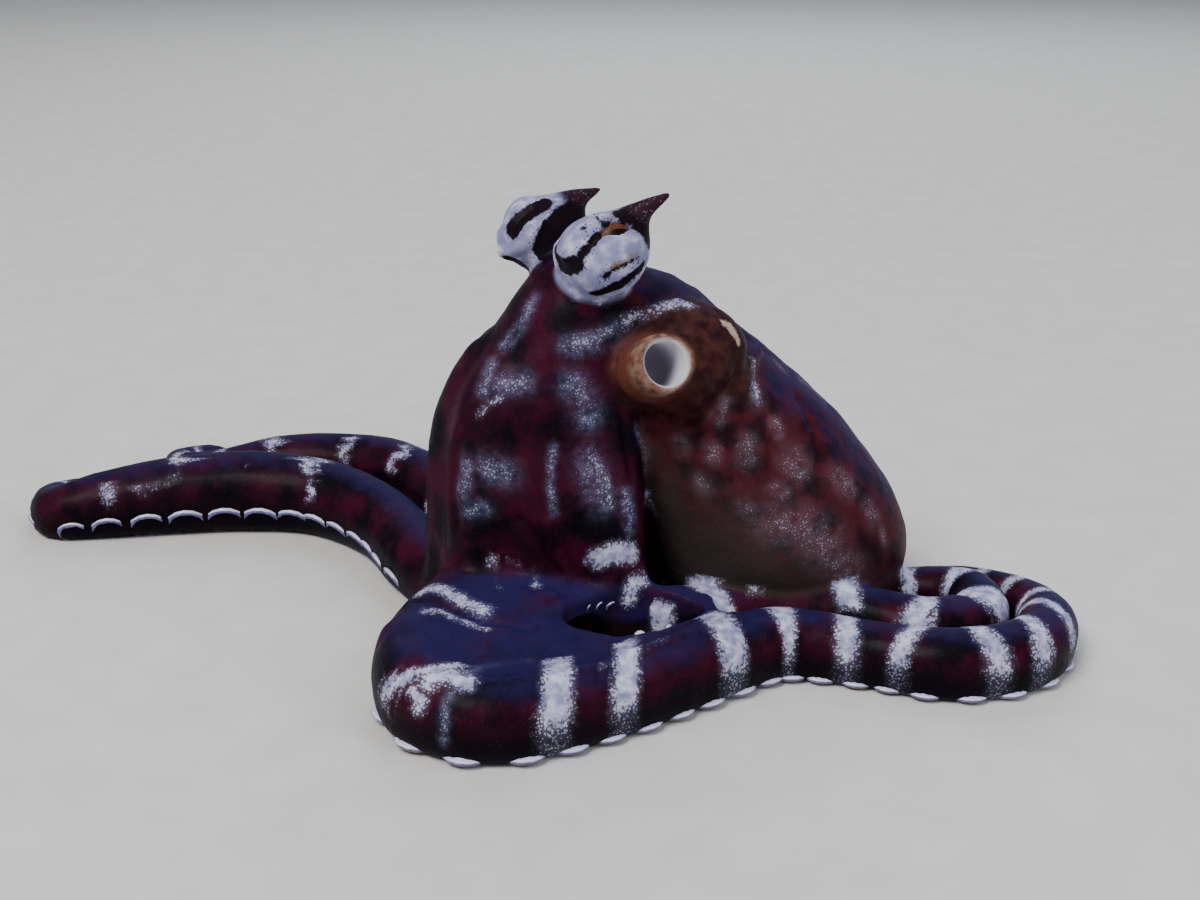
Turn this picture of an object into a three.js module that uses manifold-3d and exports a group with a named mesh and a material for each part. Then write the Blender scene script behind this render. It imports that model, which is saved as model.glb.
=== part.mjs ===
// A mimic octopus (Thaumoctopus mimicus) resting on a flat floor, life size, in millimetres, +Z up.
// The animal sits up: its eyes are on top, the arm crown comes down in front of the mantle sac,
// which leans down towards +X, and the eight arms lie along the floor on flat undersides.
//
// Places are worked out in a sitting frame whose origin is on the floor under the neck. STAND_OFFSET
// then moves every piece, so that the model's own origin is the middle of its footprint.
import * as THREE from "three";
import { mergeVertices } from "three/addons/utils/BufferGeometryUtils.js";
import Module from "manifold-3d";

const wasm = await Module();
wasm.setup();

// ---------------------------------------------------------------- driving dimensions

const GAP = 0.3; // clearance between pieces that touch in life
const CAP_GROWTH = 0.25; // how far a grown end cap moves, kept under GAP so that caps never meet
const FLOOR_BITE = 0.3; // depth by which each arm is pressed flat on the floor
const BELLY_EXPONENT = 3.4; // squareness of the flat sucker side of an arm's section
const ROUND_EXPONENT = 2; // a plain ellipse
const FIRST_TURN = 0.6; // how far an arm's crest has turned up where it leaves the crown

const ARM_SIDES = 10;
const ARM_STEP = 5.8; // spacing of the rings along an arm
const BODY_STEP = 7;
const CROWN_SIDES = 16;
const MANTLE_SIDES = 18;
const FUNNEL_SIDES = 12;
const HORN_SIDES = 8;
const HORN_STEP = 1.8;

const HEAD_CUT_HEIGHT = 45; // where the head ends and the arm crown begins
const EYEBALL_RADIUS = 2.75;
const EYEBALL_STANDS_OUT = 0.6; // how far its lens rises over the bulb
const BULB_SEGMENTS = [14, 9];
const EYE_SEGMENTS = [12, 8];

// From the floor under the neck to the middle of the footprint, which is the model's origin.
const STAND_OFFSET = new THREE.Vector3(13.62, -19.5, 0);

// The neck and the dome of the arm crown: height, middle x, half width and half depth.
const CROWN_STACK = [
  [0, -7.2, 12.4, 12.4],
  [6, -7.4, 13.2, 13.2],
  [14, -7.7, 14.0, 13.8],
  [22, -7.7, 14.4, 14.0],
  [30, -7.5, 14.2, 13.8],
  [37, -6.7, 12.7, 12.6],
  [43, -4.5, 9.9, 10.8],
  [48, -3.1, 7.9, 9.0],
  [53, -1.9, 5.4, 6.2],
];

// The mantle sac: height, middle x and y, half width and half depth.
const MANTLE_STACK = [
  [0, 26.5, 6.0, 13.0, 10.5],
  [4, 26.3, 5.6, 17.0, 13.6],
  [9, 25.8, 5.4, 18.8, 15.6],
  [15, 24.2, 5.2, 19.0, 16.6],
  [22, 20.9, 5.0, 18.2, 16.6],
  [30, 16.6, 4.6, 16.0, 15.4],
  [37, 12.2, 4.0, 12.6, 13.4],
  [43, 8.6, 3.4, 9.2, 10.8],
  [47.4, 6.0, 2.8, 6.6, 7.8],
  [50.4, 4.4, 2.4, 3.6, 4.2],
];

// Each eye: bulb middle, bulb half sizes, where the pupil looks, and the bend of its horn.
const EYES = {
  left: {
    bulb: [0.2, -6.8, 54.4],
    halfSizes: [6.0, 5.4, 5.3],
    gaze: [0.41, -0.58, 0.7],
    horn: [[3.0, -6.4, 56.8], [5.0, -6.6, 59.8], [8.6, -6.9, 62.3]],
  },
  right: {
    bulb: [-7.9, 6.4, 54.2],
    halfSizes: [5.8, 5.4, 5.1],
    gaze: [-0.6, 0.66, 0.45],
    horn: [[-5.4, 6.2, 56.4], [-3.6, 6.4, 58.8], [-0.2, 6.8, 60.4]],
  },
};
const HORN_RADII = [2.3, 1.5, 0.5];

// The funnel: the bulge of its base in the mantle opening, then its tube: x, y, z and radius.
const FUNNEL_BASE = { middle: [12, -4.4, 39.6], halfSizes: [8, 7.6, 7.8], segments: [12, 8] };
const FUNNEL_ROUTE = [
  [5.4, -5.2, 38.4, 4.8],
  [6.1, -9.8, 39.7, 4.2],
  [8.2, -14, 42, 3.9],
];
const FUNNEL_BORE_RADIUS = 2.9;
const FUNNEL_BORE_DEPTH = 7;

// The web stretched from the crown into the loop of the second left arm, as stations from left
// to right: middle x, y, z, then half width. It slopes down towards the loop. Its margin runs on
// along the arm, past the opening between this arm and the next.
const WEB_STATIONS = [
  [-21, -20, 9.8, 8],
  [-17, -23.5, 9.6, 11.5],
  [-12, -24.5, 9, 12.5],
  [-7, -23.8, 8.3, 11.5],
  [-4, -22.7, 7.9, 10.6],
];
const WEB_MARGIN_STATIONS = [
  [-4, -28, 7.9, 4.4],
  [3, -25.9, 7.5, 3],
  [9, -22.7, 7.2, 2.3],
  [15.5, -17.2, 7, 3],
];
const WEB_HALF_THICKNESS = 1.3;
const WEB_SLOPE = 0.1; // rise per millimetre towards the crown
const WEB_EXPONENT = 6; // nearly square edges, so that they stay thick

// Heights of the ridge that each arm makes as it comes down the crown.
const RIDGE_HEIGHTS = [38, 30, 22, 14];
const RIDGE_RADII = [2.6, 3.6, 4.2, 4.6];
const RIDGE_INSETS = [0.76, 0.82, 0.86, 0.88]; // how far out on the crown's section they run

// Arms, named by side and by pair from the front. `azimuth` is where the arm leaves the crown, in
// degrees, and `floor` is the way of its middle along the floor: x, y and half thickness, then how
// high it is lifted off the floor, if it is.
const ARMS = [
  {
    name: "arm_left_2",
    azimuth: 224,
    lengths: 7,
    floor: [
      [-17.8, -9.4, 5.2, 2.8],
      [-21.4, -17.4, 5.6, 0.9],
      [-23.6, -26.6, 5.7],
      [-21.4, -35, 5.5],
      [-13.6, -39.3, 5.2],
      [0, -34, 4.7],
      [12.9, -24.8, 4.9],
      [24, -18, 4.6],
      [35.6, -20.4, 4.2],
      [46.4, -23.8, 4.5],
      [56, -21, 4.5],
      [61.4, -12.4, 4.1],
      [60.4, -2.4, 3.3],
      [54, 5.8, 2.4],
      [45.6, 9.8, 1.5],
    ],
  },
  {
    name: "arm_left_3",
    azimuth: 318,
    lengths: 5,
    floor: [
      [4.4, -9.8, 4.4],
      [13, -8.6, 4.1],
      [24, -8.1, 3.9],
      [35, -8.8, 4.2],
      [45.4, -13, 4.2],
      [52.4, -9.6, 4.1],
      [52.6, -2.2, 3.9],
      [46.6, 1.4, 3.3],
      [39, 0.6, 2.6],
      [32, -1.4, 1.9],
      [25.4, -2.8, 1.3],
    ],
  },
  {
    name: "arm_left_1",
    azimuth: 184,
    lengths: 5,
    floor: [
      [-21.8, 1.0, 4.6],
      [-26.8, 8.5, 4.9],
      [-33.5, 22, 5.2],
      [-44.5, 32, 5.8],
      [-56.7, 34.2, 6.2],
      [-68, 33, 6.0],
      [-80.2, 30.4, 5.1],
      [-87.2, 29.6, 4.0],
      [-89.2, 35, 3.4],
      [-85, 40.4, 2.8],
      [-78.6, 41.2, 2.0],
      [-75.4, 44, 1.2],
    ],
  },
  {
    name: "arm_right_1",
    azimuth: 144,
    lengths: 5,
    floor: [
      [-19, 13, 4.7],
      [-22.6, 25, 5.0],
      [-28.4, 37.4, 5.2],
      [-36.6, 46, 5.3],
      [-46, 49.4, 5.1],
      [-55, 49.6, 4.8],
      [-63.4, 47.4, 4.1],
      [-70.6, 49.4, 3.4],
      [-73.6, 55.4, 2.7],
      [-68.8, 60.4, 2.1],
      [-63.6, 58, 1.3],
    ],
  },
  {
    name: "arm_right_2",
    azimuth: 112,
    lengths: 5,
    floor: [
      [-12.6, 17.6, 4.6],
      [-15.2, 29, 4.9],
      [-18.6, 40, 4.8],
      [-20.4, 51, 4.5],
      [-24.8, 61, 4.0],
      [-23.6, 71.4, 3.4],
      [-15, 76.6, 2.8],
      [-8, 71, 2.3],
      [-10.6, 64.2, 1.8],
      [-15.6, 65.4, 1.2],
    ],
  },
  {
    name: "arm_right_3",
    azimuth: 84,
    lengths: 5,
    floor: [
      [-5.4, 18.2, 4.6],
      [-4.6, 29, 4.8],
      [-4.4, 40, 4.7],
      [-1.4, 51, 4.4],
      [5, 60.6, 3.9],
      [12.6, 67.6, 3.4],
      [13, 76.6, 2.9],
      [5.4, 81, 2.4],
      [-0.6, 76, 1.9],
      [3, 70.6, 1.3],
    ],
  },
  {
    name: "arm_right_4",
    azimuth: 56,
    lengths: 5,
    floor: [
      [1.6, 16.2, 4.5],
      [5.4, 27, 4.7],
      [8.6, 38, 4.6],
      [16, 47.4, 4.2],
      [26.4, 52.4, 3.8],
      [35.4, 58.6, 3.3],
      [37.4, 68.2, 2.8],
      [30, 73.6, 2.4],
      [23, 69, 1.9],
      [26.4, 62.8, 1.3],
    ],
  },
  {
    name: "arm_left_4",
    azimuth: 24,
    lengths: 5,
    floor: [
      [7, 7.4, 4.2],
      [9.8, 16.4, 4.3],
      [15, 25.4, 4.3],
      [23.4, 31.4, 4.1],
      [33.4, 33.8, 3.7],
      [42, 37.4, 3.2],
      [45, 45, 2.7],
      [39.4, 50.4, 2.2],
      [32.4, 47, 1.8],
      [34.6, 41.8, 1.2],
    ],
  },
];

// ---------------------------------------------------------------- materials

const darkSkin = () => new THREE.MeshStandardMaterial({ color: 0x3a1820, roughness: 0.38 });
const brownSkin = () => new THREE.MeshStandardMaterial({ color: 0x4c2a26, roughness: 0.4 });
const glossyEye = () => new THREE.MeshStandardMaterial({ color: 0x8a5a30, roughness: 0.12 });

// ---------------------------------------------------------------- solids

const UP = new THREE.Vector3(0, 0, 1);
const BACK = new THREE.Vector3(0, 1, 0);

/** One station of a loft: its middle, its half sizes, and the direction that its crest faces. */
function station(x, y, z, across, rise, up, crest = ROUND_EXPONENT, belly = ROUND_EXPONENT) {
  return { at: new THREE.Vector3(x, y, z), across, rise, up, crest, belly };
}

/** A closed manifold solid from a geometry whose faces point out. */
function toSolid(geometry) {
  geometry.deleteAttribute("normal");
  geometry.deleteAttribute("uv");
  const welded = mergeVertices(geometry, 1e-5);
  const mesh = new wasm.Mesh({
    numProp: 3,
    vertProperties: new Float32Array(welded.attributes.position.array),
    triVerts: new Uint32Array(welded.index.array),
  });
  return new wasm.Manifold(mesh);
}

/** The geometry of a manifold solid. */
function toGeometry(solid) {
  const mesh = solid.getMesh();
  const geometry = new THREE.BufferGeometry();
  geometry.setAttribute("position", new THREE.BufferAttribute(mesh.vertProperties, mesh.numProp));
  geometry.setIndex(new THREE.BufferAttribute(mesh.triVerts, 1));
  geometry.computeVertexNormals();
  return geometry;
}

/** The biggest body of a solid, without the crumbs that a cut leaves. */
function biggestBody(solid) {
  const bodies = solid.decompose();
  return bodies.reduce((best, body) => (body.volume() > best.volume() ? body : best));
}

/** The ring at `place`, counted in stations along the smooth curve through them. */
function ringAt(curve, stations, place) {
  const spans = stations.length - 1;
  const index = Math.min(Math.floor(place), spans - 1);
  const fraction = place - index;
  const [before, after] = [stations[index], stations[index + 1]];
  const tangent = curve.getTangent(place / spans).normalize();
  const side = tangent.clone().cross(before.up.clone().lerp(after.up, fraction)).normalize();
  return {
    at: curve.getPoint(place / spans),
    tangent,
    side,
    up: side.clone().cross(tangent),
    across: THREE.MathUtils.lerp(before.across, after.across, fraction),
    rise: THREE.MathUtils.lerp(before.rise, after.rise, fraction),
    crest: THREE.MathUtils.lerp(before.crest, after.crest, fraction),
    belly: THREE.MathUtils.lerp(before.belly, after.belly, fraction),
  };
}

/** Rings about `step` apart along the smooth curve through the stations. */
function ringsThrough(stations, step) {
  const curve = new THREE.CatmullRomCurve3(stations.map(({ at }) => at));
  const rings = [];
  for (let span = 0; span < stations.length - 1; span += 1) {
    const length = stations[span].at.distanceTo(stations[span + 1].at);
    const steps = Math.max(1, Math.round(length / step));
    for (let k = 0; k < steps; k += 1) {
      rings.push(ringAt(curve, stations, span + k / steps));
    }
  }
  rings.push(ringAt(curve, stations, stations.length - 1));
  return rings;
}

/** The same rings with the first moved on by `atStart` and the last moved back by `atEnd`. */
function drawIn(rings, atStart, atEnd) {
  const last = rings.length - 1;
  return rings.map((ring, i) => {
    const shift = (i === 0 ? atStart : 0) - (i === last ? atEnd : 0);
    return { ...ring, at: ring.at.clone().addScaledVector(ring.tangent, shift) };
  });
}

/** A cosine or sine raised to a power that keeps its sign. */
const signedPower = (value, power) => Math.sign(value) * Math.abs(value) ** power;

/** The points of one ring, a superellipse with its own exponents for crest and belly. */
function ringPoints(ring, sides, extra) {
  return Array.from({ length: sides }, (_, k) => {
    const angle = (2 * Math.PI * (k + 0.5)) / sides;
    const power = 2 / (Math.sin(angle) < 0 ? ring.belly : ring.crest);
    const across = signedPower(Math.cos(angle), power) * (ring.across + extra);
    const rise = signedPower(Math.sin(angle), power) * (ring.rise + extra);
    return ring.at.clone().addScaledVector(ring.side, across).addScaledVector(ring.up, rise);
  });
}

/** A closed solid through the rings, grown by `extra`, with its ends moved out by `reach`. */
function loft(rings, sides, extra = 0, reach = 0) {
  const last = rings.length - 1;
  const points = drawIn(rings, -reach, -reach).flatMap((ring) => ringPoints(ring, sides, extra));
  const index = [];
  for (let i = 0; i < last; i += 1) {
    for (let k = 0; k < sides; k += 1) {
      const a = i * sides + k;
      const b = i * sides + ((k + 1) % sides);
      index.push(a, b + sides, b, a, a + sides, b + sides);
    }
  }
  for (let k = 1; k < sides - 1; k += 1) {
    const end = last * sides;
    index.push(0, k, k + 1, end, end + k + 1, end + k);
  }
  const geometry = new THREE.BufferGeometry().setFromPoints(points);
  geometry.setIndex(index);
  return toSolid(geometry);
}

/** An ellipsoid with its own half sizes, grown by `extra`. */
function ellipsoid(middle, halfSizes, segments, extra = 0) {
  const geometry = new THREE.SphereGeometry(1, ...segments);
  geometry.scale(...halfSizes.map((half) => half + extra));
  geometry.translate(...middle);
  return toSolid(geometry);
}

const aboveHeight = (solid, height) => solid.trimByPlane([0, 0, 1], height);
const belowHeight = (solid, height) => solid.trimByPlane([0, 0, -1], -height);

// ---------------------------------------------------------------- crown and arms

const crownRings = ringsThrough(
  CROWN_STACK.map(([z, x, across, depth]) => station(x, 0, z, across, depth, BACK)),
  BODY_STEP,
);

/** Middle x and half sizes of the crown's column at a height. */
function crownAt(height) {
  const above = CROWN_STACK.findIndex(([z]) => z >= height);
  const [z0, ...low] = CROWN_STACK[above - 1];
  const [z1, ...high] = CROWN_STACK[above];
  const fraction = (height - z0) / (z1 - z0);
  return low.map((value, k) => THREE.MathUtils.lerp(value, high[k], fraction));
}

/** The rings of an arm: its root, which is a ridge on the crown, and its run along the floor. */
function armRings({ azimuth, floor }) {
  const angle = THREE.MathUtils.degToRad(azimuth);
  const outward = new THREE.Vector3(Math.cos(angle), Math.sin(angle), 0);
  const ridge = RIDGE_HEIGHTS.map((height, k) => {
    const [x, across, depth] = crownAt(height);
    const ridgeX = x + outward.x * across * RIDGE_INSETS[k];
    const ridgeY = outward.y * depth * RIDGE_INSETS[k];
    return station(ridgeX, ridgeY, height, RIDGE_RADII[k], RIDGE_RADII[k], outward);
  });
  const run = floor.map(([x, y, radius, lift = 0], k) => {
    const up = k === 0 ? outward.clone().lerp(UP, FIRST_TURN).normalize() : UP;
    const z = radius - FLOOR_BITE + lift;
    return station(x, y, z, radius, radius, up, ROUND_EXPONENT, BELLY_EXPONENT);
  });
  const rings = ringsThrough([...ridge, ...run], ARM_STEP);
  const edge = rings.findIndex((ring) => ring.at.distanceTo(run[0].at) < GAP / 2);
  return { root: rings.slice(0, edge + 1), run: rings.slice(edge) };
}

const arms = ARMS.map((arm) => ({ ...arm, ...armRings(arm) }));

/** The crown with the roots of all eight arms, down to the floor. */
function crownSolid(extra, reach) {
  const column = loft(crownRings, CROWN_SIDES, extra);
  const roots = arms.map(({ root }) => loft(drawIn(root, 0, GAP / 2), ARM_SIDES, extra, reach));
  const whole = wasm.Manifold.union([column, ...roots]);
  return aboveHeight(belowHeight(whole, HEAD_CUT_HEIGHT - GAP + reach), 0);
}

/** One of the lengths of an arm, cut square to it and flat on the floor. */
function armLength({ lengths, run }, k, extra, reach) {
  const first = Math.round(((run.length - 1) * k) / lengths);
  const last = Math.round(((run.length - 1) * (k + 1)) / lengths);
  const tipGap = k < lengths - 1 ? GAP / 2 : 0;
  const part = drawIn(run.slice(first, last + 1), GAP / 2, tipGap);
  return aboveHeight(loft(part, ARM_SIDES, extra, reach), 0);
}

/** A web through stations, a sloping sheet with thick edges. */
function webSolid(places, extra, reach) {
  const slope = new THREE.Vector3(0, -WEB_SLOPE, 1).normalize();
  const stations = places.map(([x, y, z, half]) =>
    station(x, y, z, half, WEB_HALF_THICKNESS, slope, WEB_EXPONENT, WEB_EXPONENT),
  );
  return loft(ringsThrough(stations, BODY_STEP), ARM_SIDES, extra, reach);
}

// ---------------------------------------------------------------- head, eyes, funnel and mantle

/** The head: the top of the crown's column with an eye bulb on each side. */
function headSolid(extra, reach) {
  const column = aboveHeight(loft(crownRings, CROWN_SIDES, extra, reach), HEAD_CUT_HEIGHT - reach);
  const bulbs = Object.values(EYES).map(({ bulb, halfSizes }) =>
    ellipsoid(bulb, halfSizes, BULB_SEGMENTS, extra),
  );
  return wasm.Manifold.union([column, ...bulbs]);
}

/** An eyeball, set so deep in its bulb that only a lens of it shows. */
function eyeballSolid({ bulb, halfSizes, gaze }, extra) {
  const direction = new THREE.Vector3(...gaze).normalize();
  const toSurface = 1 / Math.hypot(...direction.toArray().map((part, k) => part / halfSizes[k]));
  const depth = toSurface - EYEBALL_RADIUS + EYEBALL_STANDS_OUT;
  const middle = new THREE.Vector3(...bulb).addScaledVector(direction, depth);
  return ellipsoid(middle.toArray(), Array(3).fill(EYEBALL_RADIUS), EYE_SEGMENTS, extra);
}

/** The fleshy horn over an eye, a bent cone with a blunt tip. */
function hornSolid({ horn }, extra, reach) {
  const stations = horn.map((point, k) => station(...point, HORN_RADII[k], HORN_RADII[k], BACK));
  return loft(ringsThrough(stations, HORN_STEP), HORN_SIDES, extra, reach);
}

/** The funnel and the bulge of its base. Grown, it has no bore, so that nothing enters it. */
function funnelSolid(extra, reach) {
  const { middle, halfSizes, segments } = FUNNEL_BASE;
  const base = ellipsoid(middle, halfSizes, segments, extra);
  const stations = FUNNEL_ROUTE.map(([x, y, z, radius]) => station(x, y, z, radius, radius, UP));
  const tube = loft(ringsThrough(stations, BODY_STEP), FUNNEL_SIDES, extra, reach);
  const whole = base.add(tube);
  if (extra > 0) {
    return whole;
  }
  const [mouth, behind] = [stations.at(-1).at, stations.at(-2).at];
  const outward = mouth.clone().sub(behind).normalize();
  const boreEnds = [-FUNNEL_BORE_DEPTH, GAP].map((shift) => {
    const { x, y, z } = mouth.clone().addScaledVector(outward, shift);
    return station(x, y, z, FUNNEL_BORE_RADIUS, FUNNEL_BORE_RADIUS, UP);
  });
  return whole.subtract(loft(ringsThrough(boreEnds, FUNNEL_BORE_DEPTH * 2), FUNNEL_SIDES));
}

/** The mantle sac, flat where it rests on the floor. */
function mantleSolid(extra, reach) {
  const stations = MANTLE_STACK.map(([z, x, y, across, depth]) =>
    station(x, y, z, across, depth, BACK),
  );
  return aboveHeight(loft(ringsThrough(stations, BODY_STEP), MANTLE_SIDES, extra, reach), 0);
}

// ---------------------------------------------------------------- the octopus

const octopus = new THREE.Group();
const placed = [];

/** Whether the boxes of two solids meet. */
function boxesMeet(first, second) {
  const [a, b] = [first.boundingBox(), second.boundingBox()];
  return [0, 1, 2].every((axis) => a.min[axis] < b.max[axis] && b.min[axis] < a.max[axis]);
}

/**
 * Adds a named piece. `build(extra, reach)` makes its solid, grown by `extra` with its ends moved
 * out by `reach`. The piece gives way to all that was placed before it, with GAP between them.
 */
function place(name, material, build) {
  const neighbours = placed.filter((other) => boxesMeet(other, build(0, 0)));
  const solid = neighbours.reduce((left, other) => left.subtract(other), build(0, 0));
  placed.push(build(GAP, CAP_GROWTH));
  const mesh = new THREE.Mesh(toGeometry(biggestBody(solid)), material);
  mesh.name = name;
  mesh.position.copy(STAND_OFFSET);
  octopus.add(mesh);
}

for (const [side, eye] of Object.entries(EYES)) {
  place(`eye_${side}`, glossyEye(), (extra) => eyeballSolid(eye, extra));
}
place("head", darkSkin(), headSolid);
for (const [side, eye] of Object.entries(EYES)) {
  place(`horn_${side}`, brownSkin(), (extra, reach) => hornSolid(eye, extra, reach));
}
place("arm_crown", darkSkin(), crownSolid);
place("funnel", brownSkin(), funnelSolid);
for (const arm of arms) {
  for (let k = 0; k < arm.lengths; k += 1) {
    place(`${arm.name}_part_${k + 1}`, darkSkin(), (extra, reach) =>
      armLength(arm, k, extra, reach),
    );
  }
}
place("web_left", darkSkin(), (extra, reach) => webSolid(WEB_STATIONS, extra, reach));
place("web_left_margin", darkSkin(), (extra, reach) =>
  webSolid(WEB_MARGIN_STATIONS, extra, reach),
);
place("mantle", brownSkin(), mantleSolid);

export default octopus;
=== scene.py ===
"""A mimic octopus at rest, life size: one living skin over a solid frame, with suckers and eyes.

Lengths are in millimetres in the sitting frame, whose origin is on the floor under the neck,
until a mesh is made. A mesh is in metres, in the frame's own place. The distance methods of the
forms take axes, which are the x, y and z of places and broadcast together, and give distances
that are negative inside the form.
"""

import logging
import math
from dataclasses import dataclass
from enum import Enum
from typing import Any, Callable, Dict, List, Optional, Sequence, Tuple

import bpy
import numpy as np
import openvdb
from mathutils import Euler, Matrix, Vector
from mathutils.kdtree import KDTree

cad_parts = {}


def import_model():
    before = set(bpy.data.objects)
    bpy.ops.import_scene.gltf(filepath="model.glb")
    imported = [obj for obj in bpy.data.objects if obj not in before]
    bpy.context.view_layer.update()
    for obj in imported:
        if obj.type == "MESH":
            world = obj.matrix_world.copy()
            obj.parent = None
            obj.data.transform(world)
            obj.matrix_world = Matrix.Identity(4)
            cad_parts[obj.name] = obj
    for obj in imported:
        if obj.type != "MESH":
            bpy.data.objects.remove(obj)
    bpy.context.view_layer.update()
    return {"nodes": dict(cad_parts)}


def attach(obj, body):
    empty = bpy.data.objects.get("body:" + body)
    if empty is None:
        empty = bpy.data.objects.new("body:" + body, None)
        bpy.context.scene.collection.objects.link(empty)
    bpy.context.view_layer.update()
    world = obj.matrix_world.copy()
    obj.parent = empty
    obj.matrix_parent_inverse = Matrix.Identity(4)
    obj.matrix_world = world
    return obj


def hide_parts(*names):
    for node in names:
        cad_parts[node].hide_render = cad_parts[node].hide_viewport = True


LOG = logging.getLogger("octopus")
MM = 0.001
STAND_OFFSET = np.array([13.62, -19.5, 0.0])
FINE_STEP = 0.4
TINY = 1e-9

Array = np.ndarray
Row = Tuple[float, ...]
Point = Tuple[float, float, float]
Axes = Tuple[Array, Array, Array]
Link = bpy.types.NodeSocket

# ---------------------------------------------------------------- the animal's measures, in mm

# The dome of the arm crown and the neck: height, middle x and y, half width and half depth.
CROWN_STACK = (
    (0, -7.2, 0, 12.4, 12.4), (6, -7.4, 0, 13.2, 13.2), (14, -7.7, 0, 14.0, 13.8),
    (22, -7.7, 0, 14.4, 14.0), (30, -7.5, 0, 14.2, 13.8), (37, -6.7, 0, 12.7, 12.6),
    (43, -4.5, 0, 9.9, 10.8), (48, -3.1, 0, 7.9, 9.0), (53, -1.9, 0, 5.4, 6.2),
)
CROWN_MIDDLE = -7.5  # its x, on the whole
# The mantle sac, in the same terms.
MANTLE_STACK = (
    (0, 26.5, 6.0, 13.0, 10.5), (4, 26.3, 5.6, 17.0, 13.6), (9, 25.8, 5.4, 18.8, 15.6),
    (15, 24.2, 5.2, 19.0, 16.6), (22, 20.9, 5.0, 18.2, 16.6), (30, 16.6, 4.6, 16.0, 15.4),
    (37, 12.2, 4.0, 12.6, 13.4), (43, 8.6, 3.4, 9.2, 10.8), (47.4, 6.0, 2.8, 6.6, 7.8),
    (50.4, 4.4, 2.4, 3.6, 4.2),
)

HORN_RADII = (2.6, 1.5, 0.42)
EYEBALL_RADIUS = 2.75
EYEBALL_STANDS_OUT = 0.6
EYE_ROLL = -7.0  # how far the slit is turned, in degrees
LID_THICKNESS = 0.5
LID_RISE = 0.25  # how far the lids' flesh sits above the eyeball's middle
LID_OPENING = (2.35, 1.15, -0.4, 0.1)  # half width and half height, then how far off the gaze
LID_FRONT = 0.6  # the opening starts this far ahead of the eyeball's middle
LID_SLOPE = 0.8
LID_REACH = 3.6  # half the size of the box that the lids are grown in

# The funnel: its base, its tube as x, y, z and radius, and its bore.
FUNNEL_BASE = ((12, -4.4, 39.6), (8, 7.6, 7.8))
FUNNEL_ROUTE = ((5.4, -5.2, 38.4, 4.8), (6.1, -9.8, 39.7, 4.2), (8.2, -14, 42, 3.9))
FUNNEL_BLEND = 2.0
FUNNEL_BORE = 2.95
FUNNEL_BORE_SHIFT = (0.55, 0, 0.1)  # where the bore's middle lies from the tube's
FUNNEL_BORE_LEAD = 3.0  # how far ahead of the mouth the bore starts
FUNNEL_BORE_DEPTH = 8.0

# The web in the loop of the second left arm: middle x, y, z and half width.
WEB_STATIONS = (
    (-21, -20, 9.8, 8), (-17, -23.5, 9.6, 11.5), (-12, -24.5, 9, 13), (-7, -23.8, 8.3, 12),
    (-2, -22, 7.7, 10.4), (4, -20.2, 7.3, 8.8), (10, -18.6, 7.2, 7.4), (15.5, -17, 7, 4.8),
)
WEB_HALF_THICKNESS = 1.1
WEB_SLOPE = 0.1
WEB_GAP = ((4.4, -18.2, 7), (9.3, 5.3), 17)  # the opening in it: middle, half sizes, turn
# The small suckers round the opening: x, y and z.
GAP_SUCKERS = (
    (-4.6, -17, 7.6), (-4.9, -19.2, 7.7), (-4.6, -21.6, 7.8), (-2.6, -15.4, 7.6),
    (-1.2, -14.8, 7.7), (0.2, -14.4, 7.7), (1.6, -14.3, 7.6), (-2.4, -23.6, 7.8), (5.2, -23.6, 7.8),
    (9, -21.8, 7.8),
)

# The ridge that each arm makes high on the crown, from its top down.
RIDGE_HEIGHTS = (38, 30, 22, 14)
RIDGE_RADII = (2.6, 3.6, 4.2, 4.6)
RIDGE_INSETS = (0.76, 0.82, 0.86, 0.88)
FLOOR_BITE = 0.3
RAISED_ARMS = ("left_1",)  # turned so that the suckers show
ROUND = 2.0  # how square a round section's underside is
BELLY = 3.4  # and an arm's on the floor
FIRST_TURN = 0.6  # how far an arm's crest has turned up at its first place on the floor

# The boxes that forms are grown in, as two corners.
CROWN_BOX = ((-23, -15, 0), (9, 15, 53))
WEB_BOX = ((-31, -39, 2), (21, -8, 15))
MANTLE_BOX = ((5, -13, 0), (47, 23, 51))
FUNNEL_BOX = ((2, -20, 30), (21, 4, 49))
BORE_BOX = ((0, -24, 30), (20, 4, 52))
FLOOR_BOX = ((-200, -200, -5), (200, 200, 3))
SKIN_TOP = 66.0
SKIN_BOTTOM = -1.2


@dataclass(frozen=True)
class EyePlan:
    """Where one eye is, how big its bulb is, where it looks and how its horn bends."""

    side: str
    bulb: Point
    half_sizes: Point
    gaze: Point
    horn: Tuple[Point, ...]


@dataclass(frozen=True)
class ArmPlan:
    """One arm: where it leaves the crown, in degrees, and its way along the floor.

    Each place on the way is x, y, half thickness and, where it is lifted, its lift.
    """

    name: str
    azimuth: float
    way: Tuple[Row, ...]


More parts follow.
